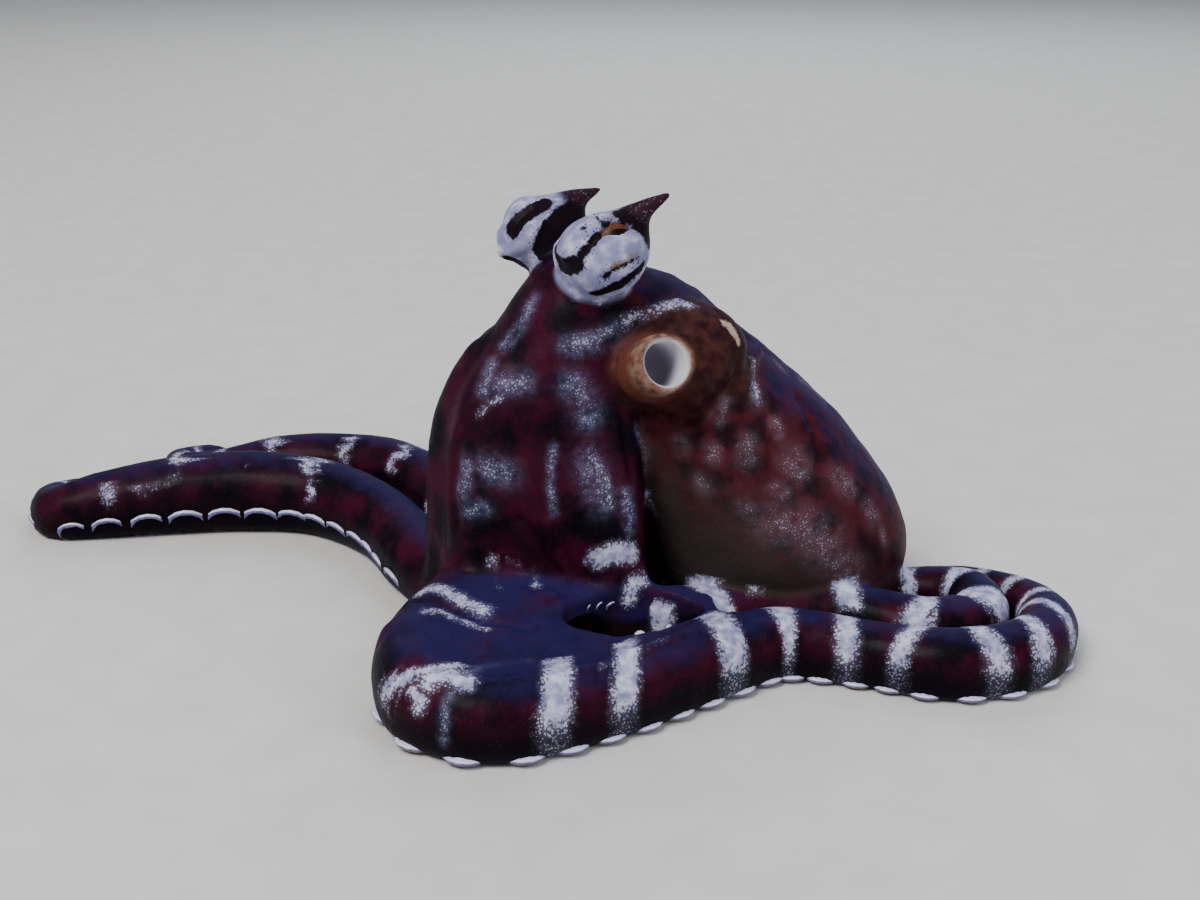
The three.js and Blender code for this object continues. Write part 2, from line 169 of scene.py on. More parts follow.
EYES = (
    EyePlan(
        "left", (0.2, -6.8, 54.4), (6.0, 5.4, 5.3), (0.41, -0.58, 0.7),
        ((3.0, -6.4, 56.8), (5.0, -6.6, 59.8), (8.6, -6.9, 62.3)),
    ),
    EyePlan(
        "right", (-7.9, 6.4, 54.2), (5.8, 5.4, 5.1), (-0.6, 0.66, 0.45),
        ((-5.4, 6.2, 56.4), (-3.6, 6.4, 58.8), (-0.2, 6.8, 60.4)),
    ),
)
ARMS = (
    ArmPlan("left_2", 224, (
        (-17.8, -9.4, 5.2, 2.8), (-21.4, -17.4, 5.6, 0.9), (-23.6, -26.6, 5.7), (-21.4, -35, 5.5),
        (-13.6, -39.3, 5.2), (0, -34, 4.7), (12.9, -24.8, 4.9), (24, -18, 4.6), (35.6, -20.4, 4.2),
        (46.4, -23.8, 4.5), (56, -21, 4.5), (61.4, -12.4, 4.1), (60.4, -2.4, 3.3), (54, 5.8, 2.4),
        (45.6, 9.8, 1.5),
    )),
    ArmPlan("left_3", 318, (
        (4.4, -9.8, 4.4), (13, -8.6, 4.1), (24, -8.1, 3.9), (35, -8.8, 4.2), (45.4, -13, 4.2),
        (52.4, -9.6, 4.1), (52.6, -2.2, 3.9), (46.6, 1.4, 3.3), (39, 0.6, 2.6), (32, -1.4, 1.9),
        (25.4, -2.8, 1.3),
    )),
    ArmPlan("left_1", 184, (
        (-21.8, 1.0, 4.6), (-26.8, 8.5, 4.9), (-33.5, 22, 5.2), (-44.5, 32, 5.8),
        (-56.7, 34.2, 6.2), (-68, 33, 6.0), (-80.2, 30.4, 5.1), (-87.2, 29.6, 4.0),
        (-89.2, 35, 3.4), (-85, 40.4, 2.8), (-78.6, 41.2, 2.0), (-75.4, 44, 1.2),
    )),
    ArmPlan("right_1", 144, (
        (-19, 13, 4.7), (-22.6, 25, 5.0), (-28.4, 37.4, 5.2), (-36.6, 46, 5.3), (-46, 49.4, 5.1),
        (-55, 49.6, 4.8), (-63.4, 47.4, 4.1), (-70.6, 49.4, 3.4), (-73.6, 55.4, 2.7),
        (-68.8, 60.4, 2.1), (-63.6, 58, 1.3),
    )),
    ArmPlan("right_2", 112, (
        (-12.6, 17.6, 4.6), (-15.2, 29, 4.9), (-18.6, 40, 4.8), (-20.4, 51, 4.5), (-24.8, 61, 4.0),
        (-23.6, 71.4, 3.4), (-15, 76.6, 2.8), (-8, 71, 2.3), (-10.6, 64.2, 1.8), (-15.6, 65.4, 1.2),
    )),
    ArmPlan("right_3", 84, (
        (-5.4, 18.2, 4.6), (-4.6, 29, 4.8), (-4.4, 40, 4.7), (-1.4, 51, 4.4), (5, 60.6, 3.9),
        (12.6, 67.6, 3.4), (13, 76.6, 2.9), (5.4, 81, 2.4), (-0.6, 76, 1.9), (3, 70.6, 1.3),
    )),
    ArmPlan("right_4", 56, (
        (1.6, 16.2, 4.5), (5.4, 27, 4.7), (8.6, 38, 4.6), (16, 47.4, 4.2), (26.4, 52.4, 3.8),
        (35.4, 58.6, 3.3), (37.4, 68.2, 2.8), (30, 73.6, 2.4), (23, 69, 1.9), (26.4, 62.8, 1.3),
    )),
    ArmPlan("left_4", 24, (
        (7, 7.4, 4.2), (9.8, 16.4, 4.3), (15, 25.4, 4.3), (23.4, 31.4, 4.1), (33.4, 33.8, 3.7),
        (42, 37.4, 3.2), (45, 45, 2.7), (39.4, 50.4, 2.2), (32.4, 47, 1.8), (34.6, 41.8, 1.2),
    )),
)

# ---------------------------------------------------------------- small mathematics


def smooth_step(low: float, high: float, value: Array) -> Array:
    """A smooth rise from 0 at `low` to 1 at `high`.

    Args:
        low: Where the rise starts.
        high: Where it ends. It may be below `low`, and then the rise is a fall.
        value: The values to map.

    Returns:
        A number from 0 to 1 for each value.
    """
    part = np.clip((value - low) / (high - low), 0, 1)
    return part * part * (3 - 2 * part)


def fused(first: Array, second: Array, reach: Any) -> Array:
    """The union of two distance fields, with a fillet.

    Args:
        first: Distances to one form.
        second: Distances to the other.
        reach: How far the fillet reaches, one number or one for each place.

    Returns:
        Distances to the two forms grown together.
    """
    near = np.maximum(reach - np.abs(first - second), 0) / reach
    return np.minimum(first, second) - near * near * reach / 4


def hollowed(outer: Array, inner: Array, reach: float) -> Array:
    """One distance field less another, with a rim rounded over `reach` mm."""
    return -fused(-outer, inner, reach)


def lattice_noise(points: Array, cell: float, seed: int) -> Array:
    """Smooth noise from -1 to 1 with one value for each corner of a lattice.

    Args:
        points: Places, one row each.
        cell: The size of the lattice's cells.
        seed: Which noise it is.

    Returns:
        One number for each place.
    """
    scaled = points / cell
    base = np.floor(scaled).astype(np.int64)
    part = scaled - base
    part = part * part * (3 - 2 * part)
    total = np.zeros(len(points))
    for corner in range(8):
        step = np.array([(corner >> axis) & 1 for axis in range(3)])
        key = (base + step) @ np.array([73856093, 19349663, 83492791]) + seed * 7919
        key = ((key ^ (key >> 13)) * 1274126177) & 0x7FFFFFFF
        value = ((key ^ (key >> 15)) & 0xFFFF) / 32767.5 - 1
        total += value * np.prod(np.where(step, part, 1 - part), axis=1)
    return total


def layered_noise(points: Array, cell: float, layers: int, seed: int) -> Array:
    """Noise in layers, each half the size and half the strength of the one before.

    Args:
        points: Places, one row each.
        cell: The cell size of the first layer.
        layers: How many layers there are.
        seed: Which noise it is.

    Returns:
        One number for each place, about -1 to 1.
    """
    total = sum(lattice_noise(points, cell / 2**k, seed + k) / 2**k for k in range(layers))
    return total / (2 - 2.0 ** (1 - layers))


def unit(vectors: Array) -> Array:
    """The same directions with a length of one."""
    lengths = np.linalg.norm(vectors, axis=-1, keepdims=True)
    return vectors / np.maximum(lengths, TINY)


def away_from(axes: Axes, middle: Sequence[float]) -> Axes:
    """The places as seen from a middle."""
    return tuple(axis - m for axis, m in zip(axes, middle))


def toward(axes: Axes, way: Sequence[float]) -> Array:
    """How far the places are in one direction."""
    return axes[0] * way[0] + axes[1] * way[1] + axes[2] * way[2]


def run_along(axes: Axes, run: Sequence[float], t: Array) -> Axes:
    """The places as seen from the point at `t` along a run."""
    return tuple(axis - t * r for axis, r in zip(axes, run))


def curve(start: Any, end: Any, out: Any, back: Any, t: Any) -> Any:
    """The smooth curve between two values.

    Args:
        start: The value at 0.
        end: The value at 1.
        out: The slope at 0.
        back: The slope at 1.
        t: How far along it is, from 0 to 1.

    Returns:
        The value there.
    """
    eased = start * (1 + 2 * t) * (1 - t) ** 2 + end * t * t * (3 - 2 * t)
    return eased + out * t * (1 - t) ** 2 - back * t * t * (1 - t)


# ---------------------------------------------------------------- forms


@dataclass(frozen=True)
class Column:
    """An upright form of elliptic sections: height, middle x and y, half width, half depth."""

    stack: Tuple[Row, ...]
    top_rounding: float = 2.5

    def section(self, height: Array) -> List[Array]:
        """The sections at any heights, as smooth curves through the stack.

        Args:
            height: The heights.

        Returns:
            The middle x and y and the two half sizes at each height.
        """
        table = np.array(self.stack, float)
        z, values = table[:, 0], table[:, 1:]
        slopes = np.diff(values, axis=0) / np.diff(z)[:, None]
        tangents = np.vstack([slopes[:1], (slopes[1:] + slopes[:-1]) / 2, slopes[-1:]])
        level = np.clip(height, z[0], z[-1])
        k = np.clip(np.searchsorted(z, level, side="right") - 1, 0, len(z) - 2)
        width = np.diff(z)[k]
        t = (level - z[k]) / width
        return [
            curve(value[k], value[k + 1], slope[k] * width, slope[k + 1] * width, t)
            for value, slope in zip(values.T, tangents.T)
        ]

    def flat_distance(self, axes: Axes) -> Array:
        """Distances measured in the horizontal plane of each place.

        Args:
            axes: The places.

        Returns:
            The distances.
        """
        middle_x, middle_y, across, depth = self.section(axes[2])
        u, v = (axes[0] - middle_x) / across, (axes[1] - middle_y) / depth
        near = np.sqrt(u * u + v * v) + 1e-6
        return near * (near - 1) / np.sqrt((u / across) ** 2 + (v / depth) ** 2 + TINY)

    def distance(self, axes: Axes) -> Array:
        """Distances to the form, with its top cut level.

        Args:
            axes: The places.

        Returns:
            The distances.
        """
        x, y, z = axes
        flat = self.flat_distance(axes)
        slope = (self.flat_distance((x, y, z + 0.5)) - flat) * 2
        sides = flat / np.sqrt(1 + slope * slope)
        return hollowed(sides, self.stack[-1][0] - z, self.top_rounding)


@dataclass(frozen=True)
class Ball:
    """An ellipsoid."""

    middle: Point
    half_sizes: Point

    def distance(self, axes: Axes) -> Array:
        """Distances to the ellipsoid.

        Args:
            axes: The places.

        Returns:
            The distances.
        """
        parts = [away / h for away, h in zip(away_from(axes, self.middle), self.half_sizes)]
        near = np.sqrt(sum(part * part for part in parts)) + 1e-6
        pull = sum((part / h) ** 2 for part, h in zip(parts, self.half_sizes))
        return near * (near - 1) / np.sqrt(pull + TINY)


class Limb:
    """A form swept along a smooth curve: an arm, a horn or a tube."""

    def __init__(
        self,
        places: Sequence[Sequence[float]],
        radii: Sequence[float],
        ups: Sequence[Sequence[float]],
        bellies: Optional[Sequence[float]] = None,
        step: float = 1.3,
    ) -> None:
        """Lays the curve through its places.

        Args:
            places: The places that the middle of the limb goes through.
            radii: Its half thickness at each place.
            ups: The direction that its crest faces at each place.
            bellies: How square the side away from the crest is at each place, from ROUND up.
            step: The spacing of the samples along it.
        """
        points = np.array(places, float)
        extras = np.column_stack([radii, bellies or [ROUND] * len(radii), np.array(ups, float)])
        ahead = np.vstack([2 * points[0] - points[1], points, 2 * points[-1] - points[-2]])
        gaps = np.linalg.norm(np.diff(ahead, axis=0), axis=1) ** 0.5
        middles: List[Array] = []
        headings: List[Array] = []
        rows: List[Array] = []
        for k in range(len(points) - 1):
            before, start, end, after = ahead[k : k + 4]
            g0, g1, g2 = gaps[k : k + 3]
            out = ((start - before) / g0 - (end - before) / (g0 + g1)) * g1 + end - start
            back = end - start + (-(after - start) / (g1 + g2) + (after - end) / g2) * g1
            count = max(2, round(np.linalg.norm(end - start) / step))
            last = int(k == len(points) - 2)
            for t in np.arange(count + last) / count:
                middles.append(curve(start, end, out, back, t))
                heading = (start - end) * 6 * t * (t - 1) + out * (1 - t) * (1 - 3 * t)
                headings.append(heading + back * t * (3 * t - 2))
                rows.append(extras[k] * (1 - t) + extras[k + 1] * t)
        table = np.array(rows)
        self.middles = np.array(middles)
        self.tangents = unit(np.array(headings))
        self.radii, self.bellies = table[:, 0], table[:, 1]
        self.sides = unit(np.cross(self.tangents, table[:, 2:5]))
        self.ups = np.cross(self.sides, self.tangents)
        lengths = np.linalg.norm(np.diff(self.middles, axis=0), axis=1)
        self.along = np.concatenate([[0.0], np.cumsum(lengths)])

    def at(self, along: float, table: Array) -> Array:
        """A row of one of the limb's tables at any length along it."""
        return np.array([np.interp(along, self.along, column) for column in table.T])

    def piece_distance(self, k: int, axes: Axes) -> Array:
        """Distances to the short piece of the limb after sample `k`.

        Args:
            k: Which sample it starts at.
            axes: The places.

        Returns:
            The distances.
        """
        run = self.middles[k + 1] - self.middles[k]
        away = away_from(axes, self.middles[k])
        t = np.clip(toward(away, run) / (run @ run), 0, 1)
        away = run_along(away, run, t)
        s = np.abs(toward(away, self.sides[k]))
        u = toward(away, self.ups[k])
        w = toward(away, self.tangents[k])
        radius = self.radii[k] + t * (self.radii[k + 1] - self.radii[k])
        round_part = s * s + u * u
        belly = self.bellies[k]
        if belly > ROUND + 0.01:
            low = np.maximum(-u, 0)
            square = (s**belly + low**belly) ** (2 / belly)
            round_part = np.where(u < 0, square, round_part)
        return np.sqrt(round_part + w * w) - radius

    def distance(self, axes: Axes) -> Array:
        """Distances to the whole of a short limb."""
        return np.min([self.piece_distance(k, axes) for k in range(len(self.middles) - 1)], axis=0)


@dataclass(frozen=True)
class Sheet:
    """A web: a flat strip with rounded edges through stations of x, y, z and half width."""

    stations: Tuple[Row, ...]
    half_thickness: float
    slope: float
    blend: float = 1.2
    overlap: float = 0.32  # how far two lengths reach past their joint where the strip bends

    def distance(self, axes: Axes) -> Array:
        """Distances to the web.

        Args:
            axes: The places.

        Returns:
            The distances.
        """
        table = np.array(self.stations, float)
        up = unit(np.array([0.0, -self.slope, 1.0]))
        best: Optional[Array] = None
        for k, (start, end) in enumerate(zip(table[:-1], table[1:])):
            run = end[:3] - start[:3]
            away = away_from(axes, start)
            t_free = toward(away, run) / (run @ run)
            t = np.clip(t_free, 0, 1)
            away = run_along(away, run, t)
            s = toward(away, unit(np.cross(unit(run), up)))
            over = np.maximum(np.abs(s) - (start[3] + t * (end[3] - start[3])), 0)
            rest = sum(a * a for a in away) - s * s
            past = np.abs(t_free - t) * np.linalg.norm(run)
            inner = ((t_free < 0) & (k > 0)) | ((t_free > 1) & (k < len(table) - 2))
            kept = np.maximum(past - np.where(inner, self.overlap, 0.0) * np.abs(s), 0)
            flat = np.maximum(over * over + rest - past * past, 0)
            found = np.sqrt(flat + kept * kept) - self.half_thickness
            best = found if best is None else fused(best, found, self.blend)
        return best

    def opening(self, axes: Axes) -> Array:
        """Distances to the opening between the web's two margins.

        Args:
            axes: The places.

        Returns:
            The distances.
        """
        middle, half_sizes, turn = WEB_GAP
        cos, sin = math.cos(math.radians(turn)), math.sin(math.radians(turn))
        x, y = axes[0] - middle[0], axes[1] - middle[1]
        turned = (x * cos + y * sin, y * cos - x * sin, axes[2])
        return Ball((0, 0, middle[2]), (*half_sizes, 60)).distance(turned)


def levels(low: Sequence[float], high: Sequence[float], step: float) -> List[Array]:
    """The levels of a lattice between two corners, with a level at 0.

    Args:
        low: The lowest corner, in mm.
        high: The highest corner.
        step: The spacing of the lattice.

    Returns:
        The levels of x, of y and of z.
    """
    first = np.floor(np.array(low) / step) * step
    counts = np.ceil((np.array(high) - first) / step).astype(int) + 1
    return [first[k] + step * np.arange(counts[k]) for k in range(3)]


class Volume:
    """A block of space on a lattice that holds the distance to the skin."""

    FAR = 4.0  # beyond this distance the field says no more

    def __init__(self, axes: Sequence[Array], step: float) -> None:
        """Sets up an empty block.

        Args:
            axes: The levels of x, of y and of z.
            step: Their spacing.
        """
        self.axes, self.step = axes, step
        self.low = np.array([axis[0] for axis in axes], float)
        self.field = np.full([len(axis) for axis in axes], self.FAR, np.float32)

    def window(self, low: Sequence[float], high: Sequence[float]) -> Tuple[Any, Axes]:
        """The part of the block between two corners.

        Args:
            low: The lowest corner.
            high: The highest corner.

        Returns:
            Its slices, and the axes of its places.
        """
        cuts, axes = [], []
        for k in range(3):
            first = max(0, math.floor((low[k] - self.low[k]) / self.step))
            last = math.ceil((high[k] - self.low[k]) / self.step) + 1
            cuts.append(slice(first, min(last, len(self.axes[k]))))
            shape = [1, 1, 1]
            shape[k] = -1
            axes.append(self.axes[k][cuts[k]].astype(np.float32).reshape(shape))
        return tuple(cuts), tuple(axes)

    def grow(self, distance: Callable[[Axes], Array], box: Any, reach: Any) -> None:
        """Joins a form to what is there.

        Args:
            distance: Gives the distance to the form.
            box: The form's lowest and highest corners.
            reach: The fillet's reach, or a function of the places that gives it.
        """
        cuts, axes = self.window(np.array(box[0]) - self.FAR, np.array(box[1]) + self.FAR)
        fillet = reach(axes) if callable(reach) else reach
        form = np.minimum(distance(axes), self.FAR)
        self.field[cuts] = fused(self.field[cuts], form, fillet)

    def cut(self, opening: Callable[[Axes], Array], box: Any, reach: float) -> None:
        """Takes a form away from what is there, with a rim rounded over `reach` mm."""
        cuts, axes = self.window(*box)
        self.field[cuts] = hollowed(self.field[cuts], opening(axes), reach)

    def grow_limb(self, limb: Limb, reach: Any) -> None:
        """Joins a limb to what is there, a short piece at a time.

        Args:
            limb: The limb.
            reach: The fillet's reach, or a function of the places that gives it.
        """
        margin = limb.radii.max() + self.FAR
        cuts, axes = self.window(limb.middles.min(0) - margin, limb.middles.max(0) + margin)
        own = Volume([axis.ravel() for axis in axes], self.step)
        for k in range(len(limb.middles) - 1):
            edge = limb.radii[k] + self.FAR
            pair = limb.middles[k : k + 2]
            inner, places = own.window(pair.min(0) - edge, pair.max(0) + edge)
            near = own.field[inner]
            np.minimum(near, limb.piece_distance(k, places), out=near)
        fillet = reach(axes) if callable(reach) else reach
        self.field[cuts] = fused(self.field[cuts], own.field, fillet)

    def sample(self, points: Array) -> Tuple[Array, Array]:
        """The distance and its slope at any places.

        Args:
            points: Places, one row each.

        Returns:
            The distances, and the direction of steepest rise as rows.
        """
        scaled = (points - self.low) / self.step
        base = np.clip(np.floor(scaled).astype(int), 0, np.array(self.field.shape) - 2)
        part = scaled - base
        value = np.zeros(len(points))
        slope = np.zeros((len(points), 3))
        for corner in np.ndindex(2, 2, 2):
            height = self.field[tuple((base + corner).T)]
            shares = np.where(corner, part, 1 - part).T
            value += height * shares[0] * shares[1] * shares[2]
            for axis in range(3):
                others = shares[axis - 1] * shares[axis - 2]
                slope[:, axis] += height * others * (1 if corner[axis] else -1)
        return value, slope / self.step

    def skin(self) -> Tuple[Array, Array]:
        """The surface where the field is zero: its points in mm, and its four-sided faces."""
        grid = openvdb.FloatGrid(self.FAR)
        grid.copyFromArray(np.ascontiguousarray(np.clip(self.field, -self.FAR, self.FAR)))
        points, quads = grid.convertToQuads(isovalue=0.0)
        return points.astype(float) * self.step + self.low, quads


# ---------------------------------------------------------------- markings


class Kind(Enum):
    """What a stroke on the skin is."""

    WHITE = "mark"
    DARK = "ink"
    PALE = "pale"
    CREAM = "cream"
    FOLD = "fold"
    RIDGE = "ridge"


@dataclass(frozen=True)
class Stroke:
    """A mark or a fold that follows a line on the skin.

    The points are places on or near the skin, in mm, and the half width is in mm.
    """

    kind: Kind
    half_width: float
    points: Tuple[Point, ...]

    def distance(self, points: Array) -> Array:
        """How far places are from the line of the stroke.

        Args:
            points: Places in mm, one row each.

        Returns:
            Distances in mm.
        """
        line = np.array(self.points, float)
        best = np.full(len(points), 1e6)
        for start, end in zip(line[:-1], line[1:]):
            run = end - start
            t = np.clip((points - start) @ run / (run @ run), 0, 1)
            best = np.minimum(best, ((points - start - t[:, None] * run) ** 2).sum(1))
        return np.sqrt(best)


@dataclass(frozen=True)
class Band:
    """A white band across an arm.

    `along` and `half_width` are in mm along the arm, and `slant` is how far it moves on for
    each mm to the side. `turn` is where on the section it is, in degrees from the crest, and
    `spread` how far it reaches from there.
    """

    along: float
    half_width: float
    slant: float = 0.0
    turn: float = 0.0
    spread: float = 180.0


# The bands of the arms that show most, each with a Band's values in order.
BANDS: Dict[str, Tuple[Row, ...]] = {
    "left_2": (
        (62.0, 0.9, -0.8, 40, 60), (76.6, 2.0, -0.45), (86.6, 1.8, -0.7), (101.9, 2.1, -0.3),
        (111.6, 1.7, 0.0), (120.2, 1.5, 0.25), (129.6, 1.3, -0.3), (137.9, 1.4, 0.25),
        (145.8, 1.3, -0.35), (153.4, 1.2, -0.7), (160.0, 0.9, 0.3), (166.6, 1.0), (173.0, 0.9),
        (179.0, 0.8),
    ),
    "left_3": (
        (37.4, 1.7, 0.3), (45.2, 2.0, 0.5), (52.0, 0.7, 0.0, -20, 40), (64.6, 2.0, 0.4, -20, 75),
        (76.0, 1.5, -0.3, -10, 80), (84.6, 2.1, 0.3), (94.0, 1.5), (102.0, 1.3), (109.6, 1.1),
        (116.4, 0.8),
    ),
    "left_1": (
        (98.2, 1.3, 0.0, -4, 16), (99.5, 0.9, 0.0, -45, 9), (98.4, 1.1, 0.0, 62, 18),
        (75.8, 2.3, 0.3, -6, 30), (73.4, 1.2, 0.0, -66, 16), (85.4, 0.8, 0.0, -52, 20),
        (104.6, 0.7, 0.0, -62, 14), (109.0, 0.8, 0.0, -56, 20), (126.0, 1.1), (133.0, 0.9),
    ),
    "right_1": (
        (95.0, 1.2, 0.2, 0, 80), (81.0, 1.2, 0.2, 0, 70), (68.0, 1.7, 0.2, 0, 60),
        (50.4, 1.7, 0.2, -30, 60), (104.0, 1.3), (112.0, 1.1), (120.0, 0.9),
    ),
}
# The regular bands of an arm that has no list of its own.
BAND_FIRST = 44.0
BAND_SPACING = 9.2
BAND_HALF_SHARE = 0.18  # half the width of a band, as a share of the spacing
BAND_CROWDING = 0.25  # how much closer they come towards the tip
BAND_SLANT = 0.2
BARE_TIP = 4.0
ARM_START = 31.0  # marks on an arm start this far along it
ARM_EDGE = 1.3  # and end this far from its surface
UNDERSIDE_SHADE = (52, 108)  # where the painted shade of the underside begins and is full, in degrees from the crest
DEEPEST = 3.0  # marks say no more than this far inside or outside an edge

# The marks and folds. Each row is a half width and then the places of its points.
Region = Dict[Kind, Tuple[Tuple[Any, ...], ...]]
NEAR_EYE: Region = {
    Kind.RIDGE: (
        (0.55, (-5.8, -6.5, 55.8), (-6.2, -7, 54), (-5.8, -7.5, 52.3), (-4.5, -8, 50.6),
         (-2.5, -8.4, 49.6), (-0.5, -8.6, 49.2)),
        (1.7, (-1.2, -8.8, 59), (-2.8, -10, 57.5), (-4, -10.3, 56), (-4, -10.5, 55.5)),
        (2.2, (3.8, -10.2, 56.4), (1.8, -11.8, 55.6), (0, -12.2, 54), (-1, -11.5, 52.4)),
    ),
    Kind.WHITE: (
        (0.6, (0, -8.4, 49), (3.3, -8.3, 49.4), (5.3, -7.8, 50.8), (6.4, -7.5, 52.3),
         (6.3, -7, 54.5)),
    ),
    Kind.FOLD: (
        (0.6, (0.2, -10.8, 58.2), (-0.8, -11.5, 57.4), (-1.6, -11.6, 56.4), (-2.5, -11.6, 55.4),
         (-3.4, -11, 54.4), (-4.8, -9.8, 54), (-5.6, -8.4, 54.6)),
        (0.4, (0.5, -12, 53), (1.5, -12, 54), (3, -11.5, 54.5), (4.5, -10.5, 55)),
        (0.6, (0, -10.6, 50.6), (2, -11, 51.4), (4, -10, 52.3), (5.5, -9, 53.3)),
    ),
    Kind.DARK: (
        (0.62, (1.4, -10.6, 58.3), (0.2, -10.8, 58.1), (-0.8, -11.4, 57.4), (-1.6, -11.6, 56.4),
         (-2.5, -11.6, 55.4)),
        (1.15, (-2.9, -11.4, 54.4), (-4, -10.6, 53.8), (-5, -9.4, 54)),
        (0.4, (-5.4, -8.6, 54), (-5.7, -7.4, 55), (-5.2, -7.8, 56.2)),
        (0.35, (-2, -10, 58.5), (-1.7, -10, 58.4)),
        (0.25, (-0.6, -8.2, 59.6), (0, -9.6, 59.4), (0.4, -10.4, 58.6)),
        (0.4, (0.5, -10.4, 59.2), (1.6, -10.3, 59.4), (2.8, -9.9, 59.2)),
        (-0.5, (2, -10.4, 58), (3.4, -10.6, 57.6), (4.8, -9.8, 56.8), (5, -9.8, 55.6),
         (3.4, -11.2, 55.2)),
        (-0.9, (-2, -9.6, 50.2), (-4, -9, 51.4), (-5.4, -8.4, 53)),
        (0.34, (0.5, -12, 53), (1.5, -12, 54), (3, -11.5, 54.5), (4.5, -10.5, 55)),
        (0.95, (-0.6, -10.2, 50.2), (1, -11, 51), (3, -10.5, 52), (4.5, -10, 52.8),
         (5.3, -9.3, 53.5)),
        (1.35, (2.8, -8.4, 60), (4.2, -8.3, 59.8), (5.4, -8, 58.8), (5.8, -8, 57.2)),
        (0.7, (4.6, -9.4, 58.6), (5.6, -8.4, 57.4), (6, -8, 56.2)),
    ),
    Kind.CREAM: (
        (0.55, (1.6, -12, 54.4), (3, -11.4, 55), (4.3, -10.6, 55.4)),
    ),
}
FAR_EYE: Region = {
    Kind.DARK: (
        (1.45, (-11.8, 3, 55.8), (-11, 3, 57), (-9.2, 3.5, 58.2), (-7.6, 4, 58.6)),
        (2.1, (-3, 4.4, 57.8), (-5, 2.2, 56.6), (-6.4, 1.6, 55.2), (-7, 1, 53.6)),
        (1.2, (-12.2, 3.8, 51.2), (-11.2, 3.4, 50.4), (-10, 3.2, 48.8)),
        (0.8, (-10, 11.4, 56), (-12.2, 9.6, 54), (-12.6, 8.4, 51.8)),
        (1.0, (-4.6, 11, 56.4), (-4, 11.4, 54), (-5.4, 11.2, 51.4)),
    ),
    Kind.RIDGE: (
        (0.8, (-5.8, 4, 58.5), (-8, 1.8, 56.5), (-9.8, 1.3, 54), (-12.3, 3.3, 52.5),
         (-13.4, 5, 52.2)),
        (0.8, (-13.6, 5.5, 54.5), (-13.8, 5.6, 52.6), (-12.6, 4.4, 51.6)),
    ),
    Kind.FOLD: (
        (0.9, (-12, 2.8, 55.3), (-11, 3.3, 57), (-9.3, 3.8, 58.4)),
    ),
}
CROWN: Region = {
    Kind.PALE: (
        (1.2, (-9, -6, 48), (-10.5, -7, 45.5), (-12.5, -7, 42.5)),
        (1.2, (-14.5, -8.5, 40), (-15.5, -10, 37)), (1.5, (-13, -10.5, 38), (-10, -11.5, 38.5)),
        (1.4, (-4, -10.8, 43.4), (-0.5, -10, 43.6), (3, -8.4, 45)),
        (1.9, (-3.5, -12, 38.5), (-2, -12, 36.5), (-1.5, -12, 34)),
        (1.3, (-17.5, -12, 27.5), (-18, -12, 25), (-18.5, -12, 23.5)),
        (1.9, (-15, -12.5, 27), (-12.5, -13, 26.5)), (1.2, (-17.5, -12.5, 21), (-15.5, -13, 21.5)),
        (0.6, (-6, -13.5, 30.5), (-6.5, -14, 28), (-6.5, -14, 24.5), (-6, -14, 21)),
        (2.0, (-1.5, -12.5, 28), (-1, -12.5, 25.5), (0.5, -12.5, 22.5)),
        (1.1, (3.5, -12, 23), (4, -11.5, 20), (4.5, -11.5, 17.5)),
        (0.8, (5, -8.5, 31), (6, -7, 27.5), (6.5, -6.5, 24.5)),
    ),
    Kind.CREAM: (
        (0.8, (16.3, -7.3, 45.4), (17.2, -7, 45), (18, -7.4, 44), (18.2, -7.8, 43)),
        (0.75, (17, -7.5, 44.6), (17.5, -7.7, 44)), (0.4, (15.4, -8, 45.2), (15.7, -8.4, 44.4)),
    ),
    Kind.WHITE: (
        (0.1, (-16, -11, 34), (-14.5, -11, 35.5), (-13, -11.5, 36.5)),
        (0.3, (-3, -10.5, 43.8), (0, -9.8, 44.5), (2, -8.5, 45), (4, -7, 46)),
        (0.7, (3.5, -7.2, 45.6), (4.5, -7, 46.2), (6, -6.6, 46.8), (8, -6, 47.4), (10.5, -5, 47.4),
         (11.8, -5.4, 47)),
        (0.15, (-0.5, -12.5, 28), (1, -12.5, 25.5), (1.5, -12.5, 21.5)),
        (0.5, (6.5, -5, 20.5), (7, -4.5, 17), (7, -4, 13), (7.5, -5, 10.5)),
    ),
    Kind.RIDGE: (
        (0.8, (1, -8.8, 44.6), (4, -7, 46), (6, -6.4, 46.8), (8, -5.6, 47.4), (10.5, -4.6, 47.4)),
        (0.6, (-7, -14, 20), (-6.5, -14, 15.5), (-4.5, -13.5, 11.5)),
    ),
    Kind.FOLD: (
        (0.6, (-10.5, -13.5, 20), (-8.5, -14, 17.5), (-6.5, -14, 13.5), (-3.5, -13, 9.5),
         (-1, -13, 8)),
        (0.55, (-6, -14, 21), (-5.5, -13.5, 16.5), (-3.5, -13, 12), (-0.5, -13, 8)),
        (0.55, (-3, -13, 20), (-3, -13, 15.5), (-1.5, -13, 11), (-0.5, -13, 8)),
        (0.9, (-0.2, -12, 29.5), (1.4, -12.5, 24), (2.8, -12.5, 19.5), (5.5, -11, 15.5)),
        (1.0, (-17, -10.5, 33), (-19.5, -10.5, 29), (-20, -10.5, 23), (-19.5, -11.5, 19)),
        (0.9, (-10, -13, 36), (-10.2, -13, 31), (-10.6, -13, 25.5), (-10.8, -13, 20)),
        (0.7, (-6, -12, 42), (-5.6, -12.6, 37), (-4.6, -13, 31)),
        (0.7, (2, -10, 41), (3, -10.6, 36), (3.6, -11, 30), (4.6, -11, 25)),
        (0.8, (-13, -8, 43), (-15, -8.6, 39), (-17, -8.5, 35)),
    ),
}
